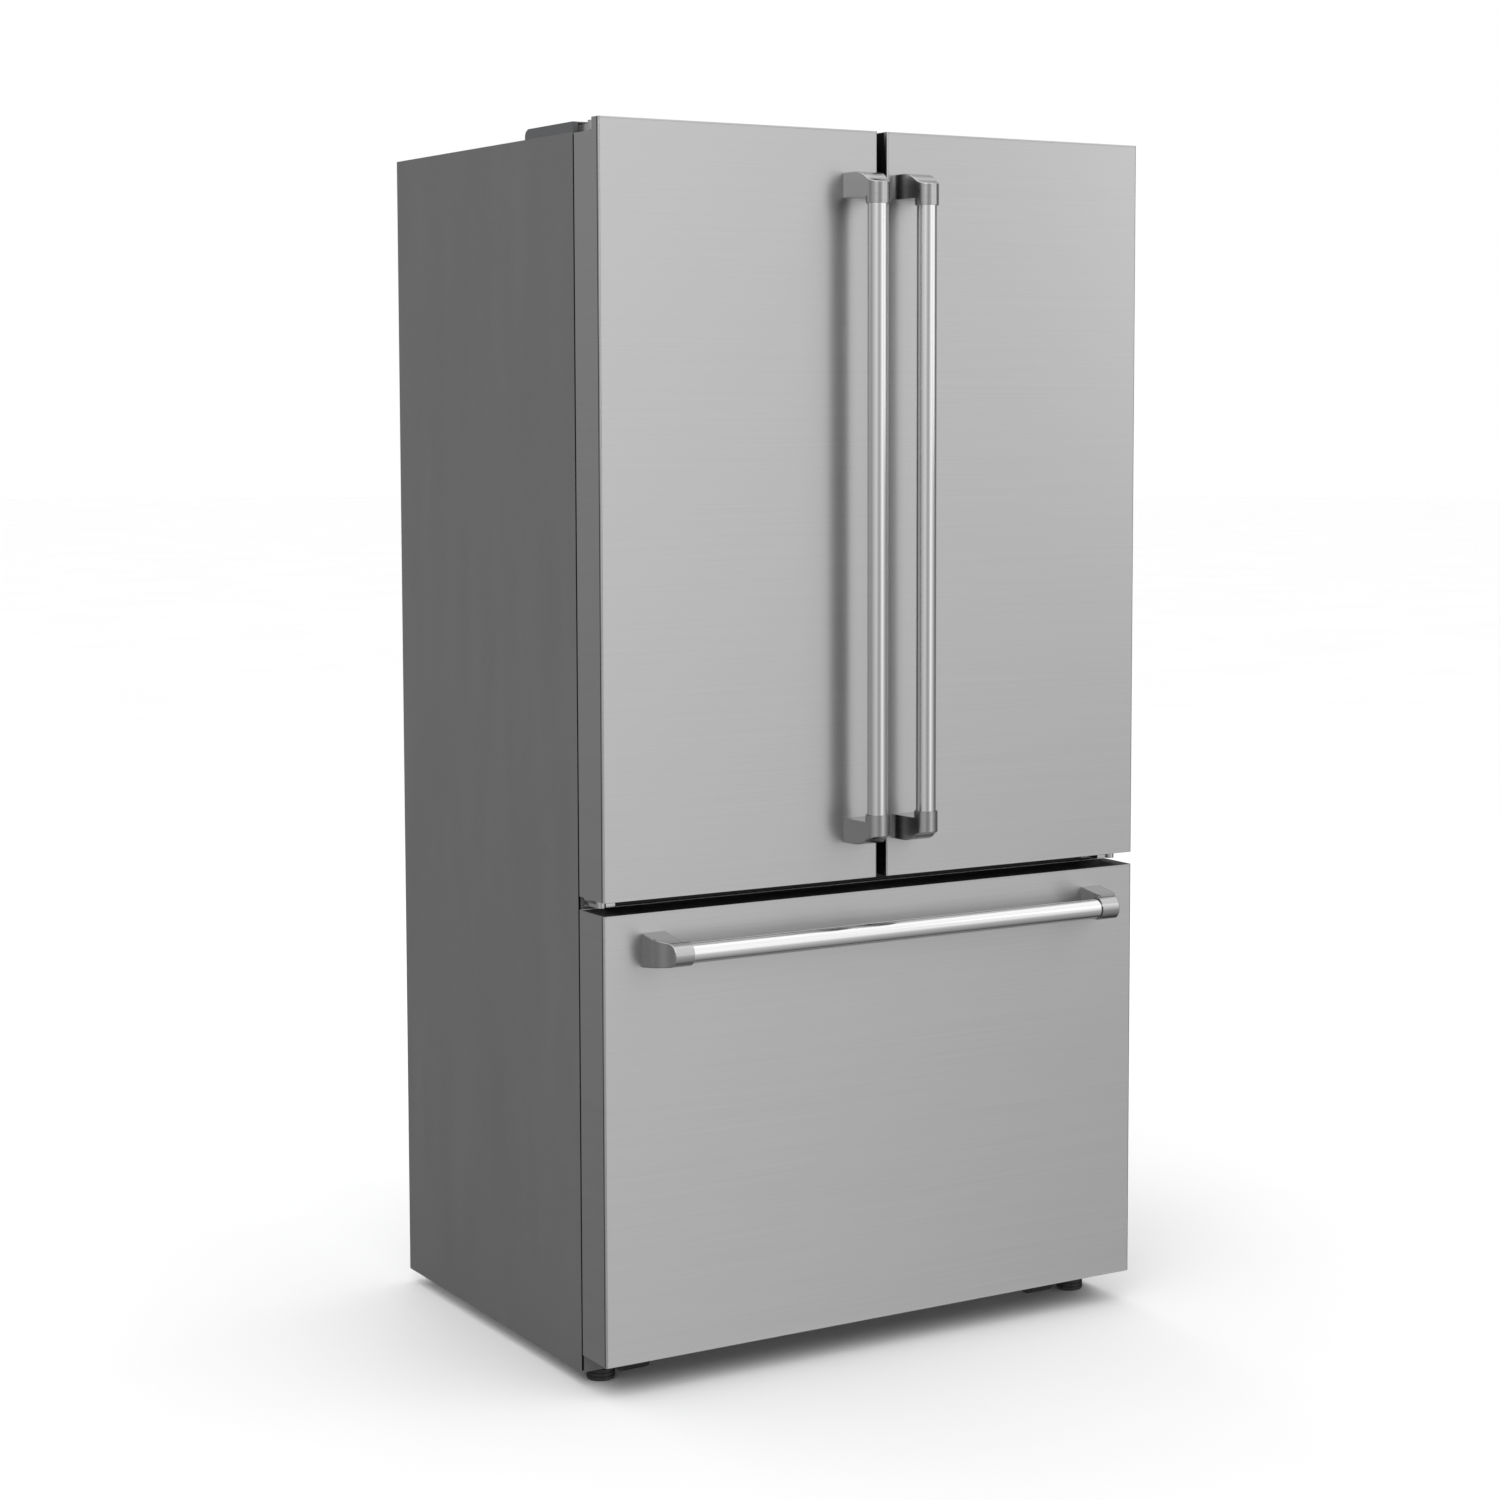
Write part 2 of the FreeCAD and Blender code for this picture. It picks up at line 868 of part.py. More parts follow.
def steel_skin(name, x, z):
    """Sheet steel folded round the front and both sides, open at the back and the ends."""
    skin = Body(name)
    low, high = x
    back = "door_back"
    skin.pad(
        "XY",
        z[0],
        z[1],
        [
            (low, back),
            (low, "door_front"),
            (high, "door_front"),
            (high, back),
            (f"{high} - sheet", back),
            (f"{high} - sheet", "door_front + sheet"),
            (f"{low} + sheet", "door_front + sheet"),
            (f"{low} + sheet", back),
        ],
    )
    skin.fillet(
        "edge_radius",
        "z",
        lambda p: near(p.y, "door_front") and (near(p.x, low) or near(p.x, high)),
    )
    return skin


def inner_liner(name, x, z, ring_x, ring_z, depth):
    """Moulded inner panel with a hollow raised ring that reaches into the compartment."""
    panel = Body(name)
    edges = (f"{x[0]} + sheet", f"{x[1]} - sheet")
    panel.pad("XZ", "door_back - liner_wall", "door_back", rectangle(*edges, *z))
    inner_x = (f"{ring_x[0]} + dyke_width", f"{ring_x[1]} - dyke_width")
    inner_z = (f"{ring_z[0]} + dyke_width", f"{ring_z[1]} - dyke_width")
    panel.pad(
        "XZ",
        "door_back",
        f"door_back + {depth}",
        rectangle(*ring_x, *ring_z),
        rectangle(*inner_x, *inner_z),
    )
    panel.pocket(
        "XZ",
        "door_back - liner_wall",
        f"door_back + {depth} - liner_wall",
        rectangle(
            f"{ring_x[0]} + liner_wall",
            f"{ring_x[1]} - liner_wall",
            f"{ring_z[0]} + liner_wall",
            f"{ring_z[1]} - liner_wall",
        ),
        rectangle(
            f"{inner_x[0]} - liner_wall",
            f"{inner_x[1]} + liner_wall",
            f"{inner_z[0]} - liner_wall",
            f"{inner_z[1]} + liner_wall",
        ),
    )
    return panel


def foam_core(name, x, z, ring_x, ring_z, depth):
    """Foam between the skin and the inner panel, with the ring's filling."""
    core = Body(name)
    core.pad(
        "XZ",
        "door_front + sheet",
        "door_back - liner_wall",
        rectangle(f"{x[0]} + sheet", f"{x[1]} - sheet", z[0], z[1]),
    )
    core.pad(
        "XZ",
        "door_back - liner_wall",
        f"door_back + {depth} - liner_wall",
        rectangle(
            f"{ring_x[0]} + liner_wall",
            f"{ring_x[1]} - liner_wall",
            f"{ring_z[0]} + liner_wall",
            f"{ring_z[1]} - liner_wall",
        ),
        rectangle(
            f"{ring_x[0]} + dyke_width - liner_wall",
            f"{ring_x[1]} - dyke_width + liner_wall",
            f"{ring_z[0]} + dyke_width - liner_wall",
            f"{ring_z[1]} - dyke_width + liner_wall",
        ),
    )
    return core


def gasket(name, outer_x, outer_z, inner_x):
    """Magnetic seal: a rubber frame on the inner panel."""
    seal = Body(name)
    seal.pad(
        "XZ",
        "door_back",
        "door_back + gasket_depth",
        rectangle(*outer_x, *outer_z),
        rectangle(*inner_x, f"{outer_z[0]} + gasket_width", f"{outer_z[1]} - gasket_width"),
    )
    return seal


def flat_cap(name, x, low, high, opening):
    """End cap: a shallow plastic tray whose open side faces the foam."""
    cap = Body(name)
    front, back = "door_front + sheet", "door_back - liner_wall"
    cap.pad("XY", low, high, rectangle(f"{x[0]} + sheet", f"{x[1]} - sheet", front, back))
    hollow = (low, f"{high} - cap_wall") if opening == "down" else (f"{low} + cap_wall", high)
    cap.pocket(
        "XY",
        hollow[0],
        hollow[1],
        rectangle(
            f"{x[0]} + sheet + cap_wall",
            f"{x[1]} - sheet - cap_wall",
            f"{front} + cap_wall",
            f"{back} - cap_wall",
        ),
    )
    return cap


def bored_cap(cap, side, low, high):
    """Add the hinge bushing, bored for the pin, to an end cap."""
    centre = ("-1" if side < 0 else "1") + " * pin_x"
    cap.pad("XY", low, high, ("circle", centre, "pin_y", "pin_radius + 5"))
    cap.pocket("XY", f"{low} - 1", f"{high} + 1", ("circle", centre, "pin_y", "bore_radius"))
    return cap


def door(side):
    prefix = f"{side_name(side)}_door"
    x = span(side, "door_inner_edge", "half_width")
    ring_x = span(side, "dyke_inner", "dyke_outer")
    ring_z = ("dyke_low", "dyke_high")
    recess_x = span(side, "half_width - recess_width", "half_width + 1")
    floor_x = span(side, "half_width - recess_width - cap_wall", "half_width - sheet")

    skin = steel_skin(f"{prefix}_skin", x, ("door_bottom", "door_top"))
    outer_wall = span(side, "half_width - 2 * sheet", "half_width + 1")
    skin.pocket(
        "YZ",
        outer_wall[0],
        outer_wall[1],
        rectangle("recess_front", "door_back", "recess_floor", "door_top + 1"),
    )
    node(skin.body, skin.name)

    lower = flat_cap(f"{prefix}_lower_cap", x, "door_bottom + cap_inset", "door_bottom + cap_height", "up")
    bored_cap(lower, side, "door_bottom + cap_inset", "door_bottom + 26")
    upper = Body(f"{prefix}_upper_cap")
    front, back = "door_front + sheet", "door_back - liner_wall"
    inside = span(side, "door_inner_edge + sheet", "half_width - sheet")
    upper.pad(
        "XY",
        "recess_floor - cap_height",
        "door_top - cap_inset",
        rectangle(inside[0], inside[1], front, back),
    )
    # Recess for the hinge arm, open at the side and the back.
    upper.pocket(
        "XY",
        "recess_floor",
        "door_top",
        rectangle(recess_x[0], recess_x[1], "recess_front", "door_back"),
    )
    wide = span(side, "door_inner_edge + sheet + cap_wall", "half_width - recess_width - cap_wall")
    upper.pocket(
        "XY",
        "recess_floor - cap_height - 1",
        "door_top - cap_inset - cap_wall",
        rectangle(wide[0], wide[1], f"{front} + cap_wall", f"{back} - cap_wall"),
    )
    under = span(side, "half_width - recess_width", "half_width - sheet - cap_wall")
    upper.pocket(
        "XY",
        "recess_floor - cap_height - 1",
        "recess_floor - cap_wall",
        rectangle(under[0], under[1], f"{front} + cap_wall", f"{back} - cap_wall"),
    )
    bored_cap(upper, side, "recess_floor - 34", "recess_floor")
    caps = group(f"{prefix}_caps", [lower.body, upper.body])
    node(caps, f"{prefix}_caps")

    panel = inner_liner(
        f"{prefix}_liner", x, ("door_bottom", "door_top - 2"), ring_x, ring_z, "dyke_depth"
    )
    panel.pocket(
        "XZ",
        "door_back - 2 * liner_wall",
        "door_back + 1",
        rectangle(recess_x[0], recess_x[1], "recess_floor", "door_top + 1"),
    )
    node(panel.body, panel.name)

    core_z = ("door_bottom + cap_height + 8.5", "recess_floor - 34.5")
    core = foam_core(f"{prefix}_foam", x, core_z, ring_x, ring_z, "dyke_depth")
    node(core.body, core.name)

    # The right seal has a lip that laps over the centre gap, towards the flip mullion.
    lap = "door_inner_edge + 1.5" if side < 0 else "-3"
    outer_x = span(side, lap, "gasket_outer")
    inner_x = span(side, "door_inner_edge + 10", "gasket_outer - gasket_width")
    seal = gasket(f"{prefix}_gasket", outer_x, ("fridge_lip_low + 1", "fridge_lip_high - 1"), inner_x)
    node(seal.body, seal.name)

    bins = []
    bin_x = span(side, "dyke_inner + dyke_width + 1", "dyke_outer - dyke_width - 1")
    for index, (low, high) in enumerate((("985", "1105"), ("1230", "1335"), ("1475", "1570"))):
        bin_body = Body(f"{prefix}_bin_{index}")
        bin_body.pad("XY", low, high, rectangle(bin_x[0], bin_x[1], "door_back + 0.5", "door_back + 100"))
        bin_body.fillet("14", "z", lambda p: near(p.y, "door_back + 100"))
        bin_body.pocket(
            "XY",
            f"{low} + 3",
            f"{high} + 1",
            rectangle(f"{bin_x[0]} + 3", f"{bin_x[1]} - 3", "door_back + 3.5", "door_back + 97"),
        )
        bins.append(bin_body.body)
    node(group(f"{prefix}_bins", bins), f"{prefix}_bins")


for side in (-1, 1):
    door(side)

drawer_x = ("-half_width", "half_width")
drawer_ring_x = ("-cavity_half + 45", "cavity_half - 45")
drawer_ring_z = ("freezer_floor + 30", "freezer_ceiling - 30")
drawer_skin = steel_skin("drawer_skin", drawer_x, ("drawer_bottom", "drawer_top"))
node(drawer_skin.body, "drawer_skin")
drawer_caps = [
    flat_cap("drawer_lower_cap", drawer_x, "drawer_bottom + cap_inset", "drawer_bottom + cap_height", "up"),
    flat_cap("drawer_upper_cap", drawer_x, "drawer_top - cap_height", "drawer_top - cap_inset", "down"),
]
node(group("drawer_caps", [cap.body for cap in drawer_caps]), "drawer_caps")
drawer_panel = inner_liner(
    "drawer_liner", drawer_x, ("drawer_bottom", "drawer_top"), drawer_ring_x, drawer_ring_z, "18"
)
node(drawer_panel.body, "drawer_liner")
drawer_core = foam_core(
    "drawer_foam",
    drawer_x,
    ("drawer_bottom + cap_height", "drawer_top - cap_height"),
    drawer_ring_x,
    drawer_ring_z,
    "18",
)
node(drawer_core.body, "drawer_foam")
drawer_seal = gasket(
    "drawer_gasket",
    ("-gasket_outer", "gasket_outer"),
    ("freezer_lip_low + 1", "freezer_lip_high - 1"),
    ("-gasket_outer + gasket_width", "gasket_outer - gasket_width"),
)
node(drawer_seal.body, "drawer_gasket")


# ---- handles ----


def plain_sketch(name, turn):
    sketch = doc.addObject("Sketcher::SketchObject", name)
    sketch.Placement = FreeCAD.Placement(FreeCAD.Vector(), turn)
    sketch.Visibility = False
    return sketch


def hold(sketch, kind, first, point, text):
    """Fix one coordinate of a point, measured from the sketch origin."""
    rule = sketch.addConstraint(Sketcher.Constraint(kind, -1, 1, first, point, number(text)))
    bind(sketch, f"Constraints[{rule}]", text)


def teardrop(name):
    """The post's plan view: a wide base that narrows tangentially to the round cap."""
    sketch = plain_sketch(name, FreeCAD.Rotation())
    base = number("bracket_half_base")
    reach = number("handle_reach")
    radius = number("cap_radius")
    distance = math.hypot(base, reach)
    swing = math.asin(radius / distance)
    lean = math.atan2(base, reach)
    touch = math.sqrt(distance**2 - radius**2)
    heading = swing - lean
    tangent = FreeCAD.Vector(base + touch * math.sin(heading), -touch * math.cos(heading), 0)
    mirrored = FreeCAD.Vector(-tangent.x, tangent.y, 0)
    nose = FreeCAD.Vector(0, -reach - radius, 0)
    sketch.addGeometry(Part.LineSegment(FreeCAD.Vector(-base, 0, 0), FreeCAD.Vector(base, 0, 0)))
    sketch.addGeometry(Part.LineSegment(FreeCAD.Vector(base, 0, 0), tangent))
    sketch.addGeometry(Part.Arc(mirrored, nose, tangent))
    sketch.addGeometry(Part.LineSegment(mirrored, FreeCAD.Vector(-base, 0, 0)))
    sketch.addConstraint(Sketcher.Constraint("Coincident", 0, 2, 1, 1))
    sketch.addConstraint(Sketcher.Constraint("Tangent", 1, 2, 2, 2))
    sketch.addConstraint(Sketcher.Constraint("Tangent", 2, 1, 3, 1))
    sketch.addConstraint(Sketcher.Constraint("Coincident", 3, 2, 0, 1))
    hold(sketch, "DistanceX", 0, 1, "-bracket_half_base")
    hold(sketch, "DistanceY", 0, 1, "0")
    hold(sketch, "DistanceX", 0, 2, "bracket_half_base")
    hold(sketch, "DistanceY", 0, 2, "0")
    hold(sketch, "DistanceX", 2, 3, "0")
    hold(sketch, "DistanceY", 2, 3, "-handle_reach")
    rule = sketch.addConstraint(Sketcher.Constraint("Radius", 2, radius))
    bind(sketch, f"Constraints[{rule}]", "cap_radius")
    return sketch


def side_profile(name, inner_end):
    """The bracket's side view: flat outer end, then an S-curve back to the nose."""
    turn = FreeCAD.Rotation(FreeCAD.Vector(0, 1, 0), FreeCAD.Vector(0, 0, 1), FreeCAD.Vector(1, 0, 0))
    sketch = plain_sketch(name, turn)
    nose = number("handle_reach + cap_radius") + 1
    flat = number("flat_reach")
    back = number("nose_set_back")
    middle = ((flat + nose) / 2, back / 2)
    curve = ((nose - flat) ** 2 + back**2) / (4 * back)
    half_turn = math.asin((nose - flat) / 2 / curve) / 2

    def on_arc(centre_u, centre_v, angle):
        return FreeCAD.Vector(
            centre_u + curve * math.sin(angle), centre_v + curve * math.cos(angle), 0
        )

    points = [(0, 0), (-flat, 0), (-middle[0], middle[1]), (-nose, back)]
    points += [(-nose, number(inner_end)), (0, number(inner_end))]
    corners = [FreeCAD.Vector(u, v, 0) for u, v in points]
    first_bulge = on_arc(-flat, curve, math.pi + half_turn)
    second_bulge = on_arc(-nose, back - curve, half_turn)
    sketch.addGeometry(Part.LineSegment(corners[0], corners[1]))
    sketch.addGeometry(Part.Arc(corners[2], first_bulge, corners[1]))
    sketch.addGeometry(Part.Arc(corners[2], second_bulge, corners[3]))
    sketch.addGeometry(Part.LineSegment(corners[3], corners[4]))
    sketch.addGeometry(Part.LineSegment(corners[4], corners[5]))
    sketch.addGeometry(Part.LineSegment(corners[5], corners[0]))
    for first, first_end, second, second_end in (
        (0, 2, 1, 2),
        (2, 2, 3, 1),
        (3, 2, 4, 1),
        (4, 2, 5, 1),
        (5, 2, 0, 1),
    ):
        joint = Sketcher.Constraint("Coincident", first, first_end, second, second_end)
        sketch.addConstraint(joint)
    sketch.addConstraint(Sketcher.Constraint("Tangent", 1, 1, 2, 1))
    sketch.addConstraint(Sketcher.Constraint("Equal", 1, 2))
    nose_text = "-handle_reach - cap_radius - 1"
    for item, point, u, v in (
        (0, 1, "0", "0"),
        (0, 2, "-flat_reach", "0"),
        (3, 1, nose_text, "nose_set_back"),
        (4, 1, nose_text, inner_end),
        (5, 1, "0", inner_end),
    ):
        hold(sketch, "DistanceX", item, point, u)
        hold(sketch, "DistanceY", item, point, v)
    hold(sketch, "DistanceX", 1, 3, "-flat_reach")
    hold(sketch, "DistanceX", 2, 3, nose_text)
    return sketch


def extrude(name, sketch, direction, length, symmetric=False):
    solid = doc.addObject("Part::Extrusion", name)
    solid.Base = sketch
    solid.DirMode = "Custom"
    solid.Dir = direction
    solid.Solid = True
    solid.Symmetric = symmetric
    bind(solid, "LengthFwd", length)
    return solid


def rim_edges(shape):
    """Edges round the bracket's curved outer end, without the seams that run across it."""
    chosen = []
    for index, edge in enumerate(shape.Edges, start=1):
        extent = edge.BoundBox
        across_only = extent.YLength < 0.01
        if extent.ZMax < number("nose_set_back + 1") and not across_only:
            chosen.append(index)
    return chosen


def bracket(name, turn, base, screw_side):
    """One handle end: built with its base at the origin, reach along -Y and inwards along +Z."""
    up = FreeCAD.Vector(0, 0, 1)
    across = FreeCAD.Vector(1, 0, 0)
    post = extrude(name + "_post", teardrop(name + "_plan"), up, "post_width")
    cap = cylinder(name + "_cap", "z", ("0", "-handle_reach"), "0", "bracket_length", "cap_radius")
    whole = fuse(name + "_whole", [post, cap])
    outline_sketch = side_profile(name + "_side", "bracket_length")
    envelope = extrude(name + "_envelope", outline_sketch, across, "4 * cap_radius", True)
    shaped = doc.addObject("Part::MultiCommon", name + "_shaped")
    shaped.Shapes = [whole, envelope]
    doc.recompute()
    rounded = doc.addObject("Part::Fillet", name + "_rounded")
    rounded.Base = shaped
    radius = number("edge_round")
    rounded.Edges = [(index, radius, radius) for index in rim_edges(shaped.Shape)]
    seat = cylinder(
        name + "_seat", "z", ("0", "-handle_reach"), "tube_set_back", "bracket_length + 1", "tube_radius"
    )
    ring = cylinder(
        name + "_ring",
        "z",
        ("0", "-handle_reach"),
        "bracket_length - 3",
        "bracket_length + 1",
        "tube_radius + 1",
    )
    ends = ("grub_inner", "grub_outer") if screw_side > 0 else ("-grub_outer", "-grub_inner")
    screw = cylinder(
        name + "_screw", "x", ("-grub_reach", "post_width / 2"), ends[0], ends[1], "grub_radius"
    )
    finished = cut(name, rounded, [seat, ring, screw])
    finished.Placement = FreeCAD.Placement(FreeCAD.Vector(), turn)
    for letter, text in zip("xyz", base):
        bind(finished, f"Placement.Base.{letter}", text)
    return finished


def tube(name, axis, centre, low, high):
    outer = cylinder(name + "_outer", axis, centre, low, high, "tube_radius")
    inner = cylinder(name + "_inner", axis, centre, low, high, "tube_radius - tube_wall")
    return cut(name, outer, [inner])


UPRIGHT = FreeCAD.Rotation()
TURNED_OVER = FreeCAD.Rotation(FreeCAD.Vector(0, 1, 0), 180)
POINT_RIGHT = FreeCAD.Rotation(FreeCAD.Vector(0, 1, 0), 90)
POINT_LEFT = FreeCAD.Rotation(FreeCAD.Vector(0, 1, 0), -90)

for side in (-1, 1):
    name = f"{side_name(side)}_handle"
    x = span(side, "handle_x", "handle_x")[0]
    pair = [
        bracket(f"{name}_lower", UPRIGHT, (x, "door_front", "handle_low"), -side),
        bracket(f"{name}_upper", TURNED_OVER, (x, "door_front", "handle_high"), side),
    ]
    node(group(f"{name}_brackets", pair), f"{name}_brackets")
    bar = tube(
        f"{name}_tube",
        "z",
        (x, "door_front - handle_reach"),
        "handle_low + tube_set_back",
        "handle_high - tube_set_back",
    )
    node(bar, f"{name}_tube")

pair = [
    bracket(
        "drawer_handle_left", POINT_RIGHT, ("-drawer_handle_half", "door_front", "drawer_handle_z"), 1
    ),
    bracket(
        "drawer_handle_right", POINT_LEFT, ("drawer_handle_half", "door_front", "drawer_handle_z"), -1
    ),
]
node(group("drawer_handle_brackets", pair), "drawer_handle_brackets")
bar = tube(
    "drawer_handle_tube",
    "x",
    ("door_front - handle_reach", "drawer_handle_z"),
    "-drawer_handle_half + tube_set_back",
    "drawer_handle_half - tube_set_back",
)
node(bar, "drawer_handle_tube")


# ---- flip mullion ----

mullion = Body("flip_mullion")
mullion.pad(
    "XY",
    "mullion_low",
    "mullion_high",
    [
        ("-mullion_left", "mullion_front + 3"),
        ("-mullion_left + 3", "mullion_front"),
        ("mullion_right - 3", "mullion_front"),
        ("mullion_right", "mullion_front + 3"),
        ("mullion_right", "mullion_back"),
        ("-mullion_left", "mullion_back"),
    ],
)
KNUCKLES = ("mullion_low + 60", "(mullion_low + mullion_high) / 2", "mullion_high - 60")
mullion_pin = ("mullion_pin_x", "mullion_pin_y")
knuckles = []
for index, z in enumerate(KNUCKLES):
    low, high = f"{z} - knuckle_height / 2", f"{z} + knuckle_height / 2"
    mullion.pocket(
        "XY",
        f"{low} - 0.5",
        f"{high} + 0.5",
        rectangle("-mullion_left - 1", "-14", "mullion_front - 1", "mullion_back + 1"),
    )
    mullion.pocket(
        "XY",
        f"{low} - 10",
        f"{high} + 10",
        ("circle", *mullion_pin, "mullion_pin_radius + 0.05"),
    )
    knuckles.append(
        fuse(
            f"knuckle_{index}",
            [
                cylinder(f"knuckle_{index}_eye", "z", mullion_pin, low, high, "knuckle_radius"),
                cylinder(
                    f"knuckle_{index}_pin",
                    "z",
                    mullion_pin,
                    f"{low} - 9",
                    f"{high} + 9",
                    "mullion_pin_radius",
                ),
                box(
                    f"knuckle_{index}_web",
                    ("-24", "-18.5"),
                    ("door_back", "mullion_pin_y"),
                    (low, high),
                ),
            ],
        )
    )
node(mullion.body, "flip_mullion")
node(group("mullion_brackets", knuckles), "mullion_brackets")


# ---- freezer basket, tray and slides ----

basket = Body("freezer_basket")
basket.pad(
    "XY",
    "basket_low",
    "basket_top",
    rectangle("-basket_half", "basket_half", "basket_front", "basket_back"),
)
basket.pocket(
    "XY",
    "basket_low + liner_wall",
    "basket_top + 1",
    rectangle(
        "-basket_half + liner_wall",
        "basket_half - liner_wall",
        "basket_front + liner_wall",
        "basket_back - liner_wall",
    ),
)
for side in (-1, 1):
    low, high = span(side, "basket_half", "basket_half + 8")
    basket.pad(
        "XY",
        "slide_z + 10",
        "slide_z + 13",
        rectangle(low, high, "basket_front + 20", "basket_back - 10"),
    )
node(basket.body, "freezer_basket")

sliding = Body("freezer_tray")
sliding.pad(
    "XY",
    "basket_top - 70",
    "basket_top + 30",
    rectangle(
        "-basket_half + 6",
        "basket_half - 6",
        "basket_front + 6",
        "basket_front + 190",
    ),
)
sliding.pocket(
    "XY",
    "basket_top - 70 + liner_wall",
    "basket_top + 31",
    rectangle(
        "-basket_half + 6 + liner_wall",
        "basket_half - 6 - liner_wall",
        "basket_front + 6 + liner_wall",
        "basket_front + 190 - liner_wall",
    ),
)
for side in (-1, 1):
    low, high = span(side, "basket_half - 6", "basket_half")
    sliding.pad(
        "XY",
        "basket_top",
        "basket_top + 3",
        rectangle(low, high, "basket_front + 6", "basket_front + 190"),
    )
node(sliding.body, "freezer_tray")


def channel(name, side, web, reach, half_height, thickness, y):
    """A C-shaped slide member: a web next to the wall and two flanges that reach inwards."""
    s = "-1" if side < 0 else "1"
    member = Body(name)
    outer_u, inner_u = f"{s} * ({web})", f"{s} * ({web} - {reach})"
    web_u = f"{s} * ({web} - {thickness})"
    top_v, low_v = f"slide_z + {half_height}", f"slide_z - {half_height}"
    member.pad(
        "XZ",
        y[0],
        y[1],
        [
            (outer_u, low_v),
            (inner_u, low_v),
            (inner_u, f"{low_v} + {thickness}"),
            (web_u, f"{low_v} + {thickness}"),
            (web_u, f"{top_v} - {thickness}"),
            (inner_u, f"{top_v} - {thickness}"),
            (inner_u, top_v),
            (outer_u, top_v),
        ],
    )
    return member.body


outer_members = []
middle_members = []
inner_members = []
for side in (-1, 1):
    label = side_name(side)
    outer_members.append(
        channel(f"{label}_channel", side, "cavity_half", "12", "21", "1.5", ("-222", "276"))
    )
    middle_members.append(
        channel(f"{label}_middle", side, "cavity_half - 2.5", "9", "18", "1.5", ("-222", "226"))
    )
    web = box(
        f"{label}_inner",
        span(side, "basket_half + 8", "basket_half + 12"),
        ("door_back + 2.5", "170"),
        ("slide_z - 10", "slide_z + 10"),
    )
    foot_plate = box(
        f"{label}_inner_plate",
        span(side, "basket_half - 10", "basket_half + 12"),
        ("door_back", "door_back + 2.5"),
        ("slide_z - 30", "slide_z + 30"),
    )
    inner_members.append(fuse(f"{label}_inner_member", [web, foot_plate]))
node(group("slide_channels", outer_members), "slide_channels")
node(group("slide_middles", middle_members), "slide_middles")
node(group("drawer_rails", inner_members), "drawer_rails")


# ---- rollers and feet ----


def foot(side):
    """Levelling foot: a ribbed disc under a threaded stem."""
    name = f"{side_name(side)}_foot"
    centre = span(side, "foot_x", "foot_x")[0]
    disc = Body(name)
    disc.pad("XY", "0", "18.5", ("circle", centre, "foot_y", "foot_radius - 1.5"))
    for index in range(3):
        low = 2.5 + 5.5 * index
        disc.pad("XY", f"{low}", f"{low} + 3", ("circle", centre, "foot_y", "foot_radius"))
    disc.pad("XY", "18.5", "40", ("circle", centre, "foot_y", "pin_radius"))
    node(disc.body, name)


for side in (-1, 1):
    foot(side)

holders = []
for side in (-1, 1):
    name = f"{side_name(side)}_front_roller"
    low, high = span(side, "roller_x - roller_half", "roller_x + roller_half")
    wheel = Body(name)
    wheel.pad(
        "YZ",
        low,
        high,
        ("circle", "roller_y", "roller_radius", "roller_radius"),
        ("circle", "roller_y", "roller_radius", "axle_radius + 0.05"),
    )
    node(wheel.body, name)
    centre = ("roller_y", "roller_radius")
    low, high = span(side, "roller_x - roller_half - 4", "roller_x + roller_half + 4")
    pieces = [cylinder(name + "_axle", "x", centre, low, high, "axle_radius")]
    for index, inset in enumerate(("-roller_half - 4", "roller_half + 1.5")):
        plate_x = span(side, f"roller_x + {inset}", f"roller_x + {inset} + 2.5")
        pieces.append(
            box(
                f"{name}_cheek_{index}",
                plate_x,
                ("roller_y - 12", "roller_y + 14"),
                ("roller_radius - 7", "pan_level"),
            )
        )
    holders.append(fuse(name + "_holder", pieces))
wheels = []
for side in (-1, 1):
    name = f"{side_name(side)}_rear"
    centre = ("rear_roller_y", "rear_roller_radius")
    low, high = span(side, "rear_roller_x - 12", "rear_roller_x + 12")
    wheels.append(cylinder(name + "_wheel", "x", centre, low, high, "rear_roller_radius"))
    plate_x = span(side, "rear_roller_x - 19", "rear_roller_x - 16")
    cheek = box(
        name + "_cheek",
        plate_x,
        ("rear_roller_y - 9", "rear_roller_y + 9"),
        ("4", "base_plate_low"),
    )
    bore = cylinder(name + "_bore", "x", centre, f"{plate_x[0]} - 1", f"{plate_x[1]} + 1", "3.05")
    holders.append(cut(name + "_holder", cheek, [bore]))
node(group("roller_brackets", holders), "roller_brackets")
rear_axle = cylinder(
    "rear_axle",
    "x",
    ("rear_roller_y", "rear_roller_radius"),
    "-rear_roller_x",
    "rear_roller_x",
    "3",
)
node(fuse("rear_rollers", wheels + [rear_axle]), "rear_rollers")


# ---- machine compartment ----

shell = cylinder(
    "compressor_shell",
    "z",
    ("compressor_x", "compressor_y"),
    "shell_low",
    "shell_high",
    "compressor_radius",
)
lower_dome = doc.addObject("Part::Ellipsoid", "compressor_lower_dome")
upper_dome = doc.addObject("Part::Ellipsoid", "compressor_upper_dome")
for dome, height in ((lower_dome, "shell_low"), (upper_dome, "shell_high")):
    bind(dome, "Radius1", "dome_height")
    bind(dome, "Radius2", "compressor_radius")
    bind(dome, "Radius3", "compressor_radius")
    for axis, value in zip("xyz", ("compressor_x", "compressor_y", height)):
        bind(dome, f"Placement.Base.{axis}", value)
foot_bar = box(
    "compressor_feet",
    ("compressor_x - 95", "compressor_x + 95"),
    ("compressor_y - 27", "compressor_y + 27"),
    ("34", "40"),
)
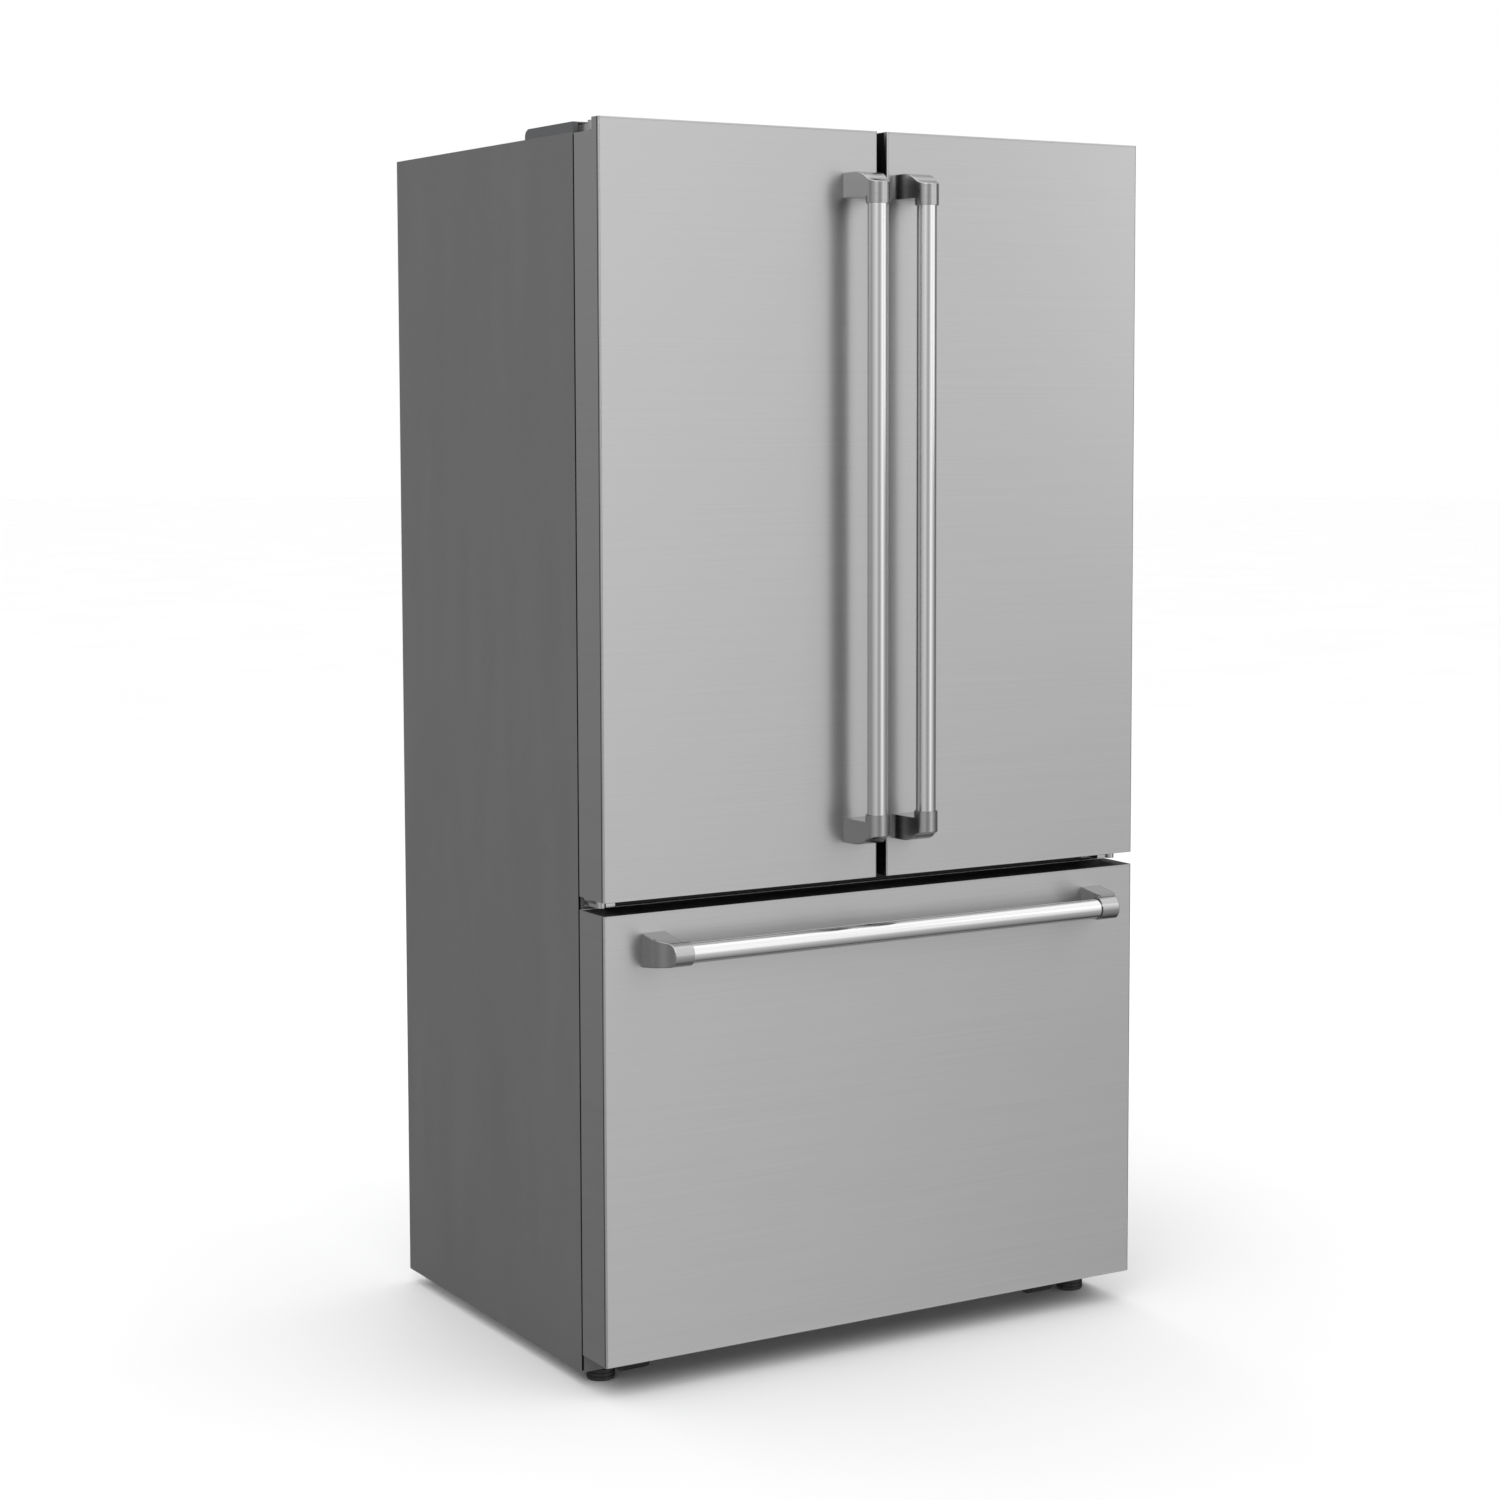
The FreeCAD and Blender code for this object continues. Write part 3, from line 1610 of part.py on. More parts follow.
posts = [
    cylinder(f"compressor_mount_{index}", "z", (x, "compressor_y"), "base_plate_high", "36", "10")
    for index, x in enumerate(("compressor_x - 82", "compressor_x + 82"))
]
terminal_box = box(
    "compressor_terminals",
    ("compressor_x + 68", "compressor_x + 90"),
    ("compressor_y - 26", "compressor_y + 26"),
    ("84", "140"),
)
suction = cylinder("compressor_suction", "z", ("-340", "300"), "120", "225", "5")
compressor = fuse(
    "compressor", [shell, lower_dome, upper_dome, foot_bar, terminal_box, suction] + posts
)
node(compressor, "compressor")

FIN_COUNT = 12
FIN_PITCH = 20
fin_y = ("coil_front", "coil_front + 95")
coil = []
for index in range(FIN_COUNT):
    low = f"coil_left + 15 + {FIN_PITCH * index}"
    coil.append(box(f"fin_{index}", (low, f"{low} + 1.5"), fin_y, ("50", "coil_top")))
for row in range(3):
    for column in range(2):
        centre = (f"coil_front + 23 + {48 * column}", f"75 + {45 * row}")
        tube_name = f"coil_{row}_{column}"
        coil.append(cylinder(tube_name, "x", centre, "coil_left", "coil_right", "4.5"))
for label, x in (
    ("left", ("coil_left", "coil_left + 2")),
    ("right", ("coil_right - 2", "coil_right")),
):
    coil.append(box(f"coil_{label}_foot", x, fin_y, ("base_plate_high", "coil_top")))
node(fuse("condenser", coil), "condenser")

shroud = Body("fan_shroud")
shroud.pad(
    "YZ",
    "fan_x - 4",
    "fan_x + 26",
    rectangle("fan_y - 66", "fan_y + 66", "base_plate_high", "fan_z + 66"),
    ("circle", "fan_y", "fan_z", "fan_radius + 4"),
)
shroud.pad(
    "YZ",
    "fan_x - 4",
    "fan_x - 1",
    rectangle("fan_y - 64", "fan_y + 64", "fan_z - 6", "fan_z + 6"),
)
shroud.pad("YZ", "fan_x - 30", "fan_x - 1", ("circle", "fan_y", "fan_z", "18"))
shroud.pad("YZ", "fan_x - 1", "fan_x + 20", ("circle", "fan_y", "fan_z", "3"))
node(shroud.body, "fan_shroud")

hub = Body("fan_hub")
hub.pad(
    "YZ",
    "fan_x + 1",
    "fan_x + 19",
    ("circle", "fan_y", "fan_z", "14"),
    ("circle", "fan_y", "fan_z", "3.05"),
)
BLADE_COUNT = 5
BLADE_PITCH = 55
blades = [hub.body]
for index in range(BLADE_COUNT):
    blade = doc.addObject("Part::Box", f"blade_{index}")
    bind(blade, "Length", "blade_thickness")
    bind(blade, "Width", "blade_width")
    bind(blade, "Height", "fan_radius - blade_root")
    around = FreeCAD.Rotation(FreeCAD.Vector(1, 0, 0), 360 * index / BLADE_COUNT)
    pitch = FreeCAD.Rotation(FreeCAD.Vector(0, 0, 1), BLADE_PITCH)
    corner = FreeCAD.Vector(-number("blade_thickness") / 2, -number("blade_width") / 2, 0)
    root = FreeCAD.Vector(0, 0, number("blade_root"))
    start = around.multVec(pitch.multVec(corner) + root)
    centre = FreeCAD.Vector(number("fan_x + 10"), number("fan_y"), number("fan_z"))
    blade.Placement = FreeCAD.Placement(centre + start, around.multiply(pitch))
    blades.append(blade)
node(fuse("fan_blades_solid", blades), "fan_blades")

cover = Body("rear_cover")
cover.pad(
    "XZ",
    "cabinet_rear - 2 * sheet",
    "cabinet_rear - sheet",
    rectangle("-half_width + 2", "half_width - 2", "base_plate_low", "machine_top - 0.5"),
)
for column in range(2):
    for row in range(6):
        left = f"-300 + {340 * column}"
        low = f"70 + {24 * row}"
        cover.pocket(
            "XZ",
            "cabinet_rear - 3 * sheet",
            "cabinet_rear",
            rectangle(left, f"{left} + 240", low, f"{low} + 9"),
        )
cover.pocket(
    "XZ",
    "cabinet_rear - 3 * sheet",
    "cabinet_rear",
    rectangle("376", "412", "98", "126"),
)
node(cover.body, "rear_cover")

inlet = Body("power_inlet")
inlet.pad(
    "XZ",
    "cabinet_rear - sheet",
    "cabinet_rear",
    rectangle("368", "420", "90", "134"),
)
inlet.pad(
    "XZ",
    "cabinet_rear - 30",
    "cabinet_rear - sheet",
    rectangle("377", "411", "99", "125"),
)
inlet.pocket(
    "XZ",
    "cabinet_rear - 18",
    "cabinet_rear + 1",
    [("382", "104"), ("406", "104"), ("406", "116"), ("401", "120"), ("387", "120"), ("382", "116")],
)
for x in ("387", "394", "401"):
    inlet.pad(
        "XZ",
        "cabinet_rear - 19",
        "cabinet_rear - 3",
        rectangle(f"{x} - 1", f"{x} + 1", "109", "114"),
    )
node(inlet.body, "power_inlet")


# ---- check and write ----

doc.recompute()
for thing in doc.Objects:
    if "Invalid" in thing.State or "Error" in thing.State:
        raise RuntimeError(f"{thing.Name} did not build: {thing.State}")
os.makedirs("parts", exist_ok=True)
for thing in NODES:
    shape = thing.Shape
    if shape.isNull() or not shape.isValid() or not shape.Solids:
        raise RuntimeError(f"{thing.Label} is not a valid solid")
    shape.exportStep(f"parts/{thing.Label}.step")
    print(thing.Label, len(shape.Solids), round(shape.Volume))
print(len(NODES), "nodes")
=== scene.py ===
import math

import bmesh
import bpy
from mathutils import Matrix, Vector


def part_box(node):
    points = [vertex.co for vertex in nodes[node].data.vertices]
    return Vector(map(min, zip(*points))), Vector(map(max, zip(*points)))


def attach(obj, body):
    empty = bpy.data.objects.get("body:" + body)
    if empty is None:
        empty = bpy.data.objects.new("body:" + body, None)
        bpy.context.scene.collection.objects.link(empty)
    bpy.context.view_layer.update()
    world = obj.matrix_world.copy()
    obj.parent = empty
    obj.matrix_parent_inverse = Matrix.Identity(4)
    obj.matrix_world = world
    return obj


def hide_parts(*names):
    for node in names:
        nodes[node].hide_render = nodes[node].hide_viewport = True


# Looks for the french door refrigerator, in metres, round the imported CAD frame.
# +X is the viewer's right, the doors face -Y and the floor is z = 0.

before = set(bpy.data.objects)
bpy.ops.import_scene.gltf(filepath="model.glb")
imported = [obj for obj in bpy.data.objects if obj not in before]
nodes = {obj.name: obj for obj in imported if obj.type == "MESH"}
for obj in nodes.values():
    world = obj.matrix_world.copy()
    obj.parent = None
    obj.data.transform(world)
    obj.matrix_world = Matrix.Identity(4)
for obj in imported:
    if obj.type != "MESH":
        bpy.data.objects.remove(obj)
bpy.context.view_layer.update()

FRONT = -0.3055  # face of the doors and the drawer
DOOR_BACK = -0.2325
BIN_TOPS = (1.105, 1.335, 1.570)  # rims of the door bins
SHELF_LEVELS = (0.938, 1.190, 1.450)
ROOT = 0.0004  # how far most strips are sunk into the surface they lie on


# ---- materials ----


# Sockets of a Mix node that mixes colours: its two inputs and its result.
MIX_FIRST, MIX_SECOND, MIX_RESULT = 6, 7, 2
# Noise values mostly lie between these two.
NOISE_LOW, NOISE_HIGH = 0.3, 0.7


def map_range(tree, value, start, end, low, high):
    """Rescale a value from start..end to low..high and hold it to those limits."""
    node = tree.nodes.new("ShaderNodeMapRange")
    node.inputs["From Min"].default_value = start
    node.inputs["From Max"].default_value = end
    node.inputs["To Min"].default_value = low
    node.inputs["To Max"].default_value = high
    tree.links.new(value, node.inputs["Value"])
    return node.outputs["Result"]


class Surface:
    """A principled material whose colour, roughness and relief come from noise."""

    def __init__(self, name, color, roughness, metallic=0.0, **constants):
        self.material = bpy.data.materials.new(name)
        self.material.use_nodes = True
        self.tree = self.material.node_tree
        self.shader = self.tree.nodes["Principled BSDF"]
        self.shader.inputs["Base Color"].default_value = (*color, 1)
        self.shader.inputs["Roughness"].default_value = roughness
        self.shader.inputs["Metallic"].default_value = metallic
        for socket, value in constants.items():
            self.shader.inputs[socket.replace("_", " ")].default_value = value
        self.color = color
        self.coords = self.tree.nodes.new("ShaderNodeTexCoord")

    def link(self, a, b):
        self.tree.links.new(a, b)

    def scaled_coords(self, scale):
        """The object's own coordinates, times features per metre along X, Y and Z."""
        mapping = self.tree.nodes.new("ShaderNodeMapping")
        mapping.inputs["Scale"].default_value = scale
        self.link(self.coords.outputs["Object"], mapping.inputs["Vector"])
        return mapping.outputs["Vector"]

    def noise(self, scale, detail, roughness=0.6):
        """Cloudy noise; scale is features per metre along X, Y and Z."""
        noise = self.tree.nodes.new("ShaderNodeTexNoise")
        noise.inputs["Scale"].default_value = 1.0
        noise.inputs["Detail"].default_value = detail
        noise.inputs["Roughness"].default_value = roughness
        noise.inputs["Distortion"].default_value = 0.0
        self.link(self.scaled_coords(scale), noise.inputs["Vector"])
        return noise.outputs["Fac"]

    def cells(self, scale):
        """Cell pattern: the distance to the nearest of scattered points."""
        voronoi = self.tree.nodes.new("ShaderNodeTexVoronoi")
        voronoi.inputs["Scale"].default_value = 1.0
        self.link(self.scaled_coords((scale, scale, scale)), voronoi.inputs["Vector"])
        return voronoi.outputs["Distance"]

    def blend(self, first, second, share):
        """A weighted sum of two noise values."""
        node = self.tree.nodes.new("ShaderNodeMix")
        node.inputs["Factor"].default_value = share
        self.link(first, node.inputs["A"])
        self.link(second, node.inputs["B"])
        return node.outputs["Result"]

    def tint(self, factor, dark, light):
        """Colour between two multiples of the base colour."""
        node = self.tree.nodes.new("ShaderNodeMix")
        node.data_type = "RGBA"
        node.inputs[MIX_FIRST].default_value = (*(c * dark for c in self.color), 1)
        node.inputs[MIX_SECOND].default_value = (*(min(1, c * light) for c in self.color), 1)
        share = map_range(self.tree, factor, NOISE_LOW, NOISE_HIGH, 0, 1)
        self.link(share, node.inputs["Factor"])
        self.link(node.outputs[MIX_RESULT], self.shader.inputs["Base Color"])

    def polish(self, factor, low, high):
        """Roughness between two values."""
        roughness = map_range(self.tree, factor, NOISE_LOW, NOISE_HIGH, low, high)
        self.link(roughness, self.shader.inputs["Roughness"])

    def relief(self, factor, depth, strength):
        """Bumps of a depth in metres."""
        bump = self.tree.nodes.new("ShaderNodeBump")
        bump.inputs["Strength"].default_value = strength
        bump.inputs["Distance"].default_value = depth
        self.link(factor, bump.inputs["Height"])
        self.link(bump.outputs["Normal"], self.shader.inputs["Normal"])


# Noise features per metre of brushed steel, across the grain and along it.
FINE_GRAIN = (1500.0, 3.0)
BROAD_GRAIN = (380.0, 2.5)
QUARTER_TURN = 0.25


def brushed(name, color, roughness, along, spread, anisotropy, depth=0.000012):
    """Steel with a grain: fine scratches along the named axes over broad soft bands."""
    steel = Surface(name, color, roughness, 1.0, Anisotropic=anisotropy)
    fine, broad = (
        [lengthways if axis in along else across for axis in "xyz"]
        for across, lengthways in (FINE_GRAIN, BROAD_GRAIN)
    )
    grain = steel.blend(steel.noise(fine, 3), steel.noise(broad, 2), 0.5)
    steel.tint(grain, 0.955, 1.045)
    steel.polish(grain, roughness - spread / 2, roughness + spread / 2)
    steel.relief(grain, depth, 0.25)
    tangent = steel.tree.nodes.new("ShaderNodeTangent")
    tangent.direction_type = "RADIAL"
    tangent.axis = "X" if "z" in along else "Z"
    # A grain spreads highlights across itself, so their long axis is turned.
    steel.shader.inputs["Anisotropic Rotation"].default_value = QUARTER_TURN
    steel.link(tangent.outputs["Tangent"], steel.shader.inputs["Tangent"])
    return steel.material


def moulded(name, color, roughness, texture=700.0, depth=0.00006, clouds=0.06, **constants):
    """Injection-moulded plastic: a fine even texture and faint cloudiness."""
    plastic = Surface(name, color, roughness, 0.0, **constants)
    fine = plastic.noise((texture,) * 3, 2)
    cloud = plastic.noise((9.0, 9.0, 6.0), 3)
    plastic.tint(plastic.blend(fine, cloud, 0.6), 1 - clouds, 1 + clouds)
    plastic.polish(cloud, roughness - 0.05, roughness + 0.06)
    plastic.relief(fine, depth, 0.5)
    return plastic.material


def painted(name, color, roughness):
    """Baked paint on sheet steel: orange peel, a soft speckle and light rub marks."""
    paint = Surface(name, color, roughness, 0.0, Coat_Weight=0.15, Coat_Roughness=0.35)
    peel = paint.noise((420.0, 420.0, 420.0), 2)
    marks = paint.noise((14.0, 14.0, 3.0), 4, 0.7)
    paint.tint(paint.blend(peel, marks, 0.6), 0.9, 1.08)
    paint.polish(marks, roughness - 0.05, roughness + 0.07)
    paint.relief(peel, 0.00012, 0.5)
    return paint.material


def galvanised(name, color):
    """Zinc-coated sheet with small faint flakes."""
    zinc = Surface(name, color, 0.45, 0.6)
    flakes = zinc.cells(280.0)
    soil = zinc.noise((8.0, 8.0, 5.0), 4)
    zinc.tint(zinc.blend(flakes, soil, 0.5), 0.93, 1.05)
    zinc.polish(flakes, 0.4, 0.5)
    zinc.relief(flakes, 0.00003, 0.3)
    return zinc.material


def foamed(name, color):
    """Rigid foam with an open, bubbly surface."""
    foam = Surface(name, color, 0.9)
    bubbles = foam.cells(900.0)
    foam.tint(bubbles, 0.85, 1.05)
    foam.relief(bubbles, 0.0004, 0.8)
    return foam.material


def clear(name, color, roughness, clearness):
    """Clear plastic or glass, faintly tinted; clearness is the share of light let through."""
    pane = Surface(name, color, roughness, 0.0, Transmission_Weight=clearness, IOR=1.46)
    haze = pane.noise((30.0, 30.0, 30.0), 3)
    pane.tint(haze, 0.97, 1.02)
    pane.polish(haze, roughness * 0.8, roughness * 1.3)
    return pane.material


look = {
    "skin_steel": brushed("skin_steel", (0.50, 0.50, 0.50), 0.34, "xy", 0.06, 0.75),
    "bracket_steel": brushed("bracket_steel", (0.43, 0.43, 0.43), 0.24, "xy", 0.02, 0.1, 0.000002),
    "tube_steel": brushed("tube_steel", (0.72, 0.72, 0.72), 0.16, "z", 0.01, 0.1, 0.000001),
    "bar_steel": brushed("bar_steel", (0.72, 0.72, 0.72), 0.16, "x", 0.01, 0.1, 0.000001),
    "zinc_steel": brushed("zinc_steel", (0.6, 0.6, 0.6), 0.22, "y", 0.04, 0.1),
    "trim_steel": brushed("trim_steel", (0.74, 0.74, 0.73), 0.22, "x", 0.04, 0.3),
    "side_paint": painted("side_paint", (0.113, 0.113, 0.1135), 0.5),
    "black_paint": painted("black_paint", (0.018, 0.018, 0.02), 0.42),
    "galvanised": galvanised("galvanised", (0.56, 0.57, 0.575)),
    "cover_plastic": moulded("cover_plastic", (0.085, 0.087, 0.09), 0.5),
    "black_plastic": moulded("black_plastic", (0.016, 0.016, 0.018), 0.48),
    # Painted shade: near-black plastic with little gloss, for the strips that stand in for the
    # shade inside the gaps.
    "painted_gap_shade": moulded("painted_gap_shade", (0.004, 0.004, 0.004), 0.8, Specular_IOR_Level=0.1),
    "white_plastic": moulded("white_plastic", (0.80, 0.81, 0.81), 0.3, 500.0, 0.00003, 0.012),
    "clear_plastic": clear("clear_plastic", (0.94, 0.965, 0.975), 0.08, 0.93),
    "shelf_glass": clear("shelf_glass", (0.90, 0.97, 0.945), 0.03, 0.95),
    "seal": moulded("seal", (0.03, 0.03, 0.031), 0.6, 600.0),
    "foam": foamed("foam", (0.80, 0.72, 0.48)),
    "aluminium": brushed("aluminium", (0.72, 0.73, 0.74), 0.32, "z", 0.06, 0.1),
    "copper": brushed("copper", (0.72, 0.38, 0.24), 0.28, "z", 0.06, 0.1),
    "screw_steel": brushed("screw_steel", (0.5, 0.5, 0.5), 0.3, "x", 0.05, 0.1),
    "roller_nylon": moulded("roller_nylon", (0.03, 0.03, 0.032), 0.42),
}

lamp = Surface("lamp_diffuser", (0.95, 0.96, 1.0), 0.5, Emission_Strength=1.6)
lamp.shader.inputs["Emission Color"].default_value = (1.0, 0.98, 0.94, 1)
prisms = lamp.cells(260.0)
lamp.tint(prisms, 0.93, 1.03)
lamp.relief(prisms, 0.0002, 0.5)
look["lamp"] = lamp.material

DOOR_LOOKS = {
    "door_skin": "skin_steel",
    "door_caps": "black_plastic",
    "door_liner": "white_plastic",
    "door_foam": "foam",
    "door_gasket": "seal",
    "door_bins": "clear_plastic",
    "handle_tube": "tube_steel",
    "handle_brackets": "bracket_steel",
}
node_looks = {
    "left_side_panel": "side_paint",
    "right_side_panel": "side_paint",
    "top_panel": "side_paint",
    "back_panel": "galvanised",
    "bottom_panel": "galvanised",
    "base_rail": "side_paint",
    "front_crossbar": "black_paint",
    "fridge_liner": "white_plastic",
    "freezer_liner": "white_plastic",
    "insulation_foam": "foam",
    "hinge_covers": "cover_plastic",
    "hinge_plates": "zinc_steel",
    "air_duct_panel": "white_plastic",
    "light_housing": "white_plastic",
    "shelf_frames": "white_plastic",
    "shelf_glass": "shelf_glass",
    "slide_channels": "zinc_steel",
    "slide_middles": "zinc_steel",
    "drawer_rails": "zinc_steel",
    "roller_brackets": "zinc_steel",
    "compressor": "black_paint",
    "condenser": "aluminium",
    "fan_shroud": "black_plastic",
    "fan_blades": "black_plastic",
    "rear_cover": "galvanised",
    "power_inlet": "black_plastic",
    "flip_mullion": "black_plastic",
    "mullion_brackets": "zinc_steel",
    "drawer_skin": "skin_steel",
    "drawer_caps": "black_plastic",
    "drawer_liner": "white_plastic",
    "drawer_foam": "foam",
    "drawer_gasket": "seal",
    "drawer_handle_tube": "bar_steel",
    "drawer_handle_brackets": "bracket_steel",
    "freezer_basket": "white_plastic",
    "freezer_tray": "clear_plastic",
    "left_crisper": "clear_plastic",
    "right_crisper": "clear_plastic",
    "left_front_roller": "roller_nylon",
    "right_front_roller": "roller_nylon",
    "rear_rollers": "roller_nylon",
    "left_foot": "black_plastic",
    "right_foot": "black_plastic",
}
for side in ("left", "right"):
    node_looks.update({f"{side}_{part}": name for part, name in DOOR_LOOKS.items()})
for name, obj in nodes.items():
    for slot in obj.material_slots:
        slot.material = look[node_looks.get(name, "zinc_steel")]


# ---- mesh helpers ----


MERGE_DISTANCE = 1e-7
SMOOTH_ANGLE = math.radians(35)


def finish_piece(name, mesh_code, body, material, bevel=0.0):
    """Turn mesh code into a shaded piece that rides on a CAD body."""
    work = bmesh.new()
    mesh_code(work)
    bmesh.ops.remove_doubles(work, verts=work.verts, dist=MERGE_DISTANCE)
    bmesh.ops.recalc_face_normals(work, faces=work.faces)
    mesh = bpy.data.meshes.new(name)
    work.to_mesh(mesh)
    work.free()
    for face in mesh.polygons:
        face.use_smooth = True
    mesh.set_sharp_from_angle(angle=SMOOTH_ANGLE)
    mesh.materials.append(look[material])
    piece = bpy.data.objects.new(name, mesh)
    bpy.context.scene.collection.objects.link(piece)
    if bevel:
        rounding = piece.modifiers.new("rounding", "BEVEL")
        rounding.width = bevel
        rounding.segments = 3
        rounding.limit_method = "ANGLE"
    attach(piece, body)
    return piece


def add_box(work, low, high):
    """Add a box between two opposite corners."""
    made = bmesh.ops.create_cube(work, size=1.0)["verts"]
    low, high = Vector(low), Vector(high)
    for vert in made:
        vert.co = Vector(low[i] + (vert.co[i] + 0.5) * (high[i] - low[i]) for i in range(3))


def add_lathe(work, profile, centre, axis, steps=24):
    """Spin a profile of (radius, height) about an axis through centre.

    A radius of 0 closes an end.
    """
    turn = Vector((0, 0, 1)).rotation_difference(Vector(axis)).to_matrix().to_4x4()
    place = Matrix.Translation(Vector(centre)) @ turn
    rings = []
    for radius, height in profile:
        if radius == 0:
            rings.append([work.verts.new(place @ Vector((0, 0, height)))])
            continue
        ring = []
        for step in range(steps):
            angle = 2 * math.pi * step / steps
            point = Vector((radius * math.cos(angle), radius * math.sin(angle), height))
            ring.append(work.verts.new(place @ point))
        rings.append(ring)
    for lower, upper in zip(rings, rings[1:]):
        for step in range(steps):
            following = (step + 1) % steps
            corners = [
                lower[step % len(lower)],
                lower[following % len(lower)],
                upper[following % len(upper)],
                upper[step % len(upper)],
            ]
            unique = list(dict.fromkeys(corners))
            if len(unique) > 2:
                work.faces.new(unique)


def add_screw(work, centre, axis, radius, height):
    """Domed head with a round-shouldered socket."""
    add_lathe(
        work,
        [
            (0, 0.35 * height),
            (0.36 * radius, 0.35 * height),
            (0.42 * radius, 0.92 * height),
            (0.62 * radius, height),
            (0.9 * radius, 0.7 * height),
            (radius, 0.3 * height),
            (radius, 0),
            (0, 0),
        ],
        centre,
        axis,
    )


def add_frame(work, low, high, widths, y_start, y_end, profile):
    """Sweep a profile round a rectangle in X and Z with mitred corners.

    profile is (across, out) pairs from 0 to 1; widths are the frame's widths at the low x,
    high x, low z and high z sides.
    """
    rings = []
    for across, out in profile:
        x0, x1 = low[0] + widths[0] * across, high[0] - widths[1] * across
        z0, z1 = low[1] + widths[2] * across, high[1] - widths[3] * across
        y = y_start + (y_end - y_start) * out
        corners = ((x0, z0), (x1, z0), (x1, z1), (x0, z1))
        rings.append([work.verts.new((x, y, z)) for x, z in corners])
    for ring, following in zip(rings, rings[1:] + rings[:1]):
        for index in range(4):
            other = (index + 1) % 4
            work.faces.new([ring[index], ring[other], following[other], following[index]])


# ---- door and drawer details ----

# Section of a seal, as shares of its width and of its depth.
BELLOWS = [
    (0.0, 0.0),
    (0.0, 0.3),
    (0.16, 0.42),
    (0.16, 0.55),
    (0.0, 0.68),
    (0.0, 0.9),
    (0.1, 1.0),
    (0.42, 1.0),
    (0.5, 0.86),
    (0.58, 1.0),
    (0.9, 1.0),
    (1.0, 0.9),
    (1.0, 0.68),
    (0.84, 0.55),
    (0.84, 0.42),
    (1.0, 0.3),
    (1.0, 0.0),
]
SEAL_WIDTH = 0.014
SEAL_NARROW = 0.0085  # left door, beside the mullion
SEAL_LAP = 0.021  # right door, lapping over the centre gap


def seal(node, body, low_x=SEAL_WIDTH, high_x=SEAL_WIDTH):
    """Folded rubber seal in place of the plain CAD gasket."""
    low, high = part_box(node)
    widths = (low_x, high_x, SEAL_WIDTH, SEAL_WIDTH)

    def code(work):
        add_frame(work, (low[0], low[2]), (high[0], high[2]), widths, low[1], high[1], BELLOWS)

    piece = finish_piece(f"{node}_bellows", code, body, "seal")
    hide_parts(node)


seal("left_door_gasket", "left_door", high_x=SEAL_NARROW)
seal("right_door_gasket", "right_door", low_x=SEAL_LAP)
seal("drawer_gasket", "drawer")


BIN_TRIM_INSET = 0.016
BIN_TRIM_DROP = (0.020, 0.006)  # lower and upper edge, below the rim of the bin
BIN_TRIM_PROUD = 0.0015


def bin_trims(side):
    """Bright rail along the top front edge of each door bin."""
    low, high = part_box(f"{side}_door_bins")
    lower, upper = BIN_TRIM_DROP

    def code(work):
        for top in BIN_TOPS:
            add_box(
                work,
                (low[0] + BIN_TRIM_INSET, high[1] - 0.0005, top - lower),
                (high[0] - BIN_TRIM_INSET, high[1] + BIN_TRIM_PROUD, top - upper),
            )

    finish_piece(f"{side}_bin_trims", code, f"{side}_door", "trim_steel", 0.0006)


for side in ("left", "right"):
    bin_trims(side)


FOLD_DEPTH = 0.009
TRIM_PROUD = 0.0005
END_MARGIN = 0.0008  # how far a trim or a painted shade line stops short of the ends of its edge


def gap_shade_trims():
    """Black trim on the facing edges of the two doors, behind the fold of the steel; its
    near-black, nearly glossless finish is painted shade for the deep centre gap.
    """
    for side in ("left", "right"):
        low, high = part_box(f"{side}_door_skin")
        edge = high[0] if side == "left" else low[0]

        def code(work):
            add_box(
                work,
                (edge - TRIM_PROUD, FRONT + FOLD_DEPTH, low[2] + END_MARGIN),
                (edge + TRIM_PROUD, DOOR_BACK - 0.0004, high[2] - END_MARGIN),
            )

        finish_piece(f"{side}_trim_and_gap_shade", code, f"{side}_door", "painted_gap_shade", 0.0002)


gap_shade_trims()


SHADE_LINE_PROUD = 0.00025
SHADE_LINE_BACK = 0.0032  # from the face of the door or drawer
SHADE_LINE_WIDTH = 0.0013
CASE_SHADE_INSET = (0.0002, 0.0034)  # outer and inner edge, from the outside of the case
CASE_SHADE_MARGIN = 0.003


def corner_shade_lines():
    """Painted shade: a thin black line on the outer sides of each steel front, beside its rounded
    front corner, where the fold of the steel falls dark.
    """
    for name, ends in (("left_door", (0,)), ("right_door", (1,)), ("drawer", (0, 1))):
        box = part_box(f"{name}_skin")

        def code(work):
            for end in ends:
                outer = box[end][0]
                add_box(
                    work,
                    (outer - SHADE_LINE_PROUD, FRONT + SHADE_LINE_BACK, box[0][2] + END_MARGIN),
                    (outer + SHADE_LINE_PROUD, FRONT + SHADE_LINE_BACK + SHADE_LINE_WIDTH, box[1][2] - END_MARGIN),
                )

        finish_piece(f"{name}_corner_painted_shade", code, name, "painted_gap_shade", 0.0001)


def case_gap_shade_lines():
    """Painted shade: a black line on the front flange of the case, where it lies in shade in the
    gap behind the doors and the drawer.
    """
    for side, end, inward in (("left", 0, 1), ("right", 1, -1)):
        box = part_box(f"{side}_side_panel")

        def code(work):
            xs = sorted(box[end][0] + inward * inset for inset in CASE_SHADE_INSET)
            front = box[0][1]
            add_box(
                work,
                (xs[0], front - SHADE_LINE_PROUD, box[0][2] + CASE_SHADE_MARGIN),
                (xs[1], front + SHADE_LINE_PROUD, box[1][2] - CASE_SHADE_MARGIN),
            )

        finish_piece(f"{side}_case_painted_shade", code, "cabinet", "painted_gap_shade", 0.0001)


corner_shade_lines()
case_gap_shade_lines()


SCREW_REACH = 0.013  # from the face of the front to a grub screw
BRACKET_POST = 0.0355 / 2  # from the end of a bracket to the middle of its post
BRACKET_SIDE = 0.0185  # from the middle of a bracket to its side face
GRUB_RADIUS = 0.0022
GRUB_HEIGHT = 0.002


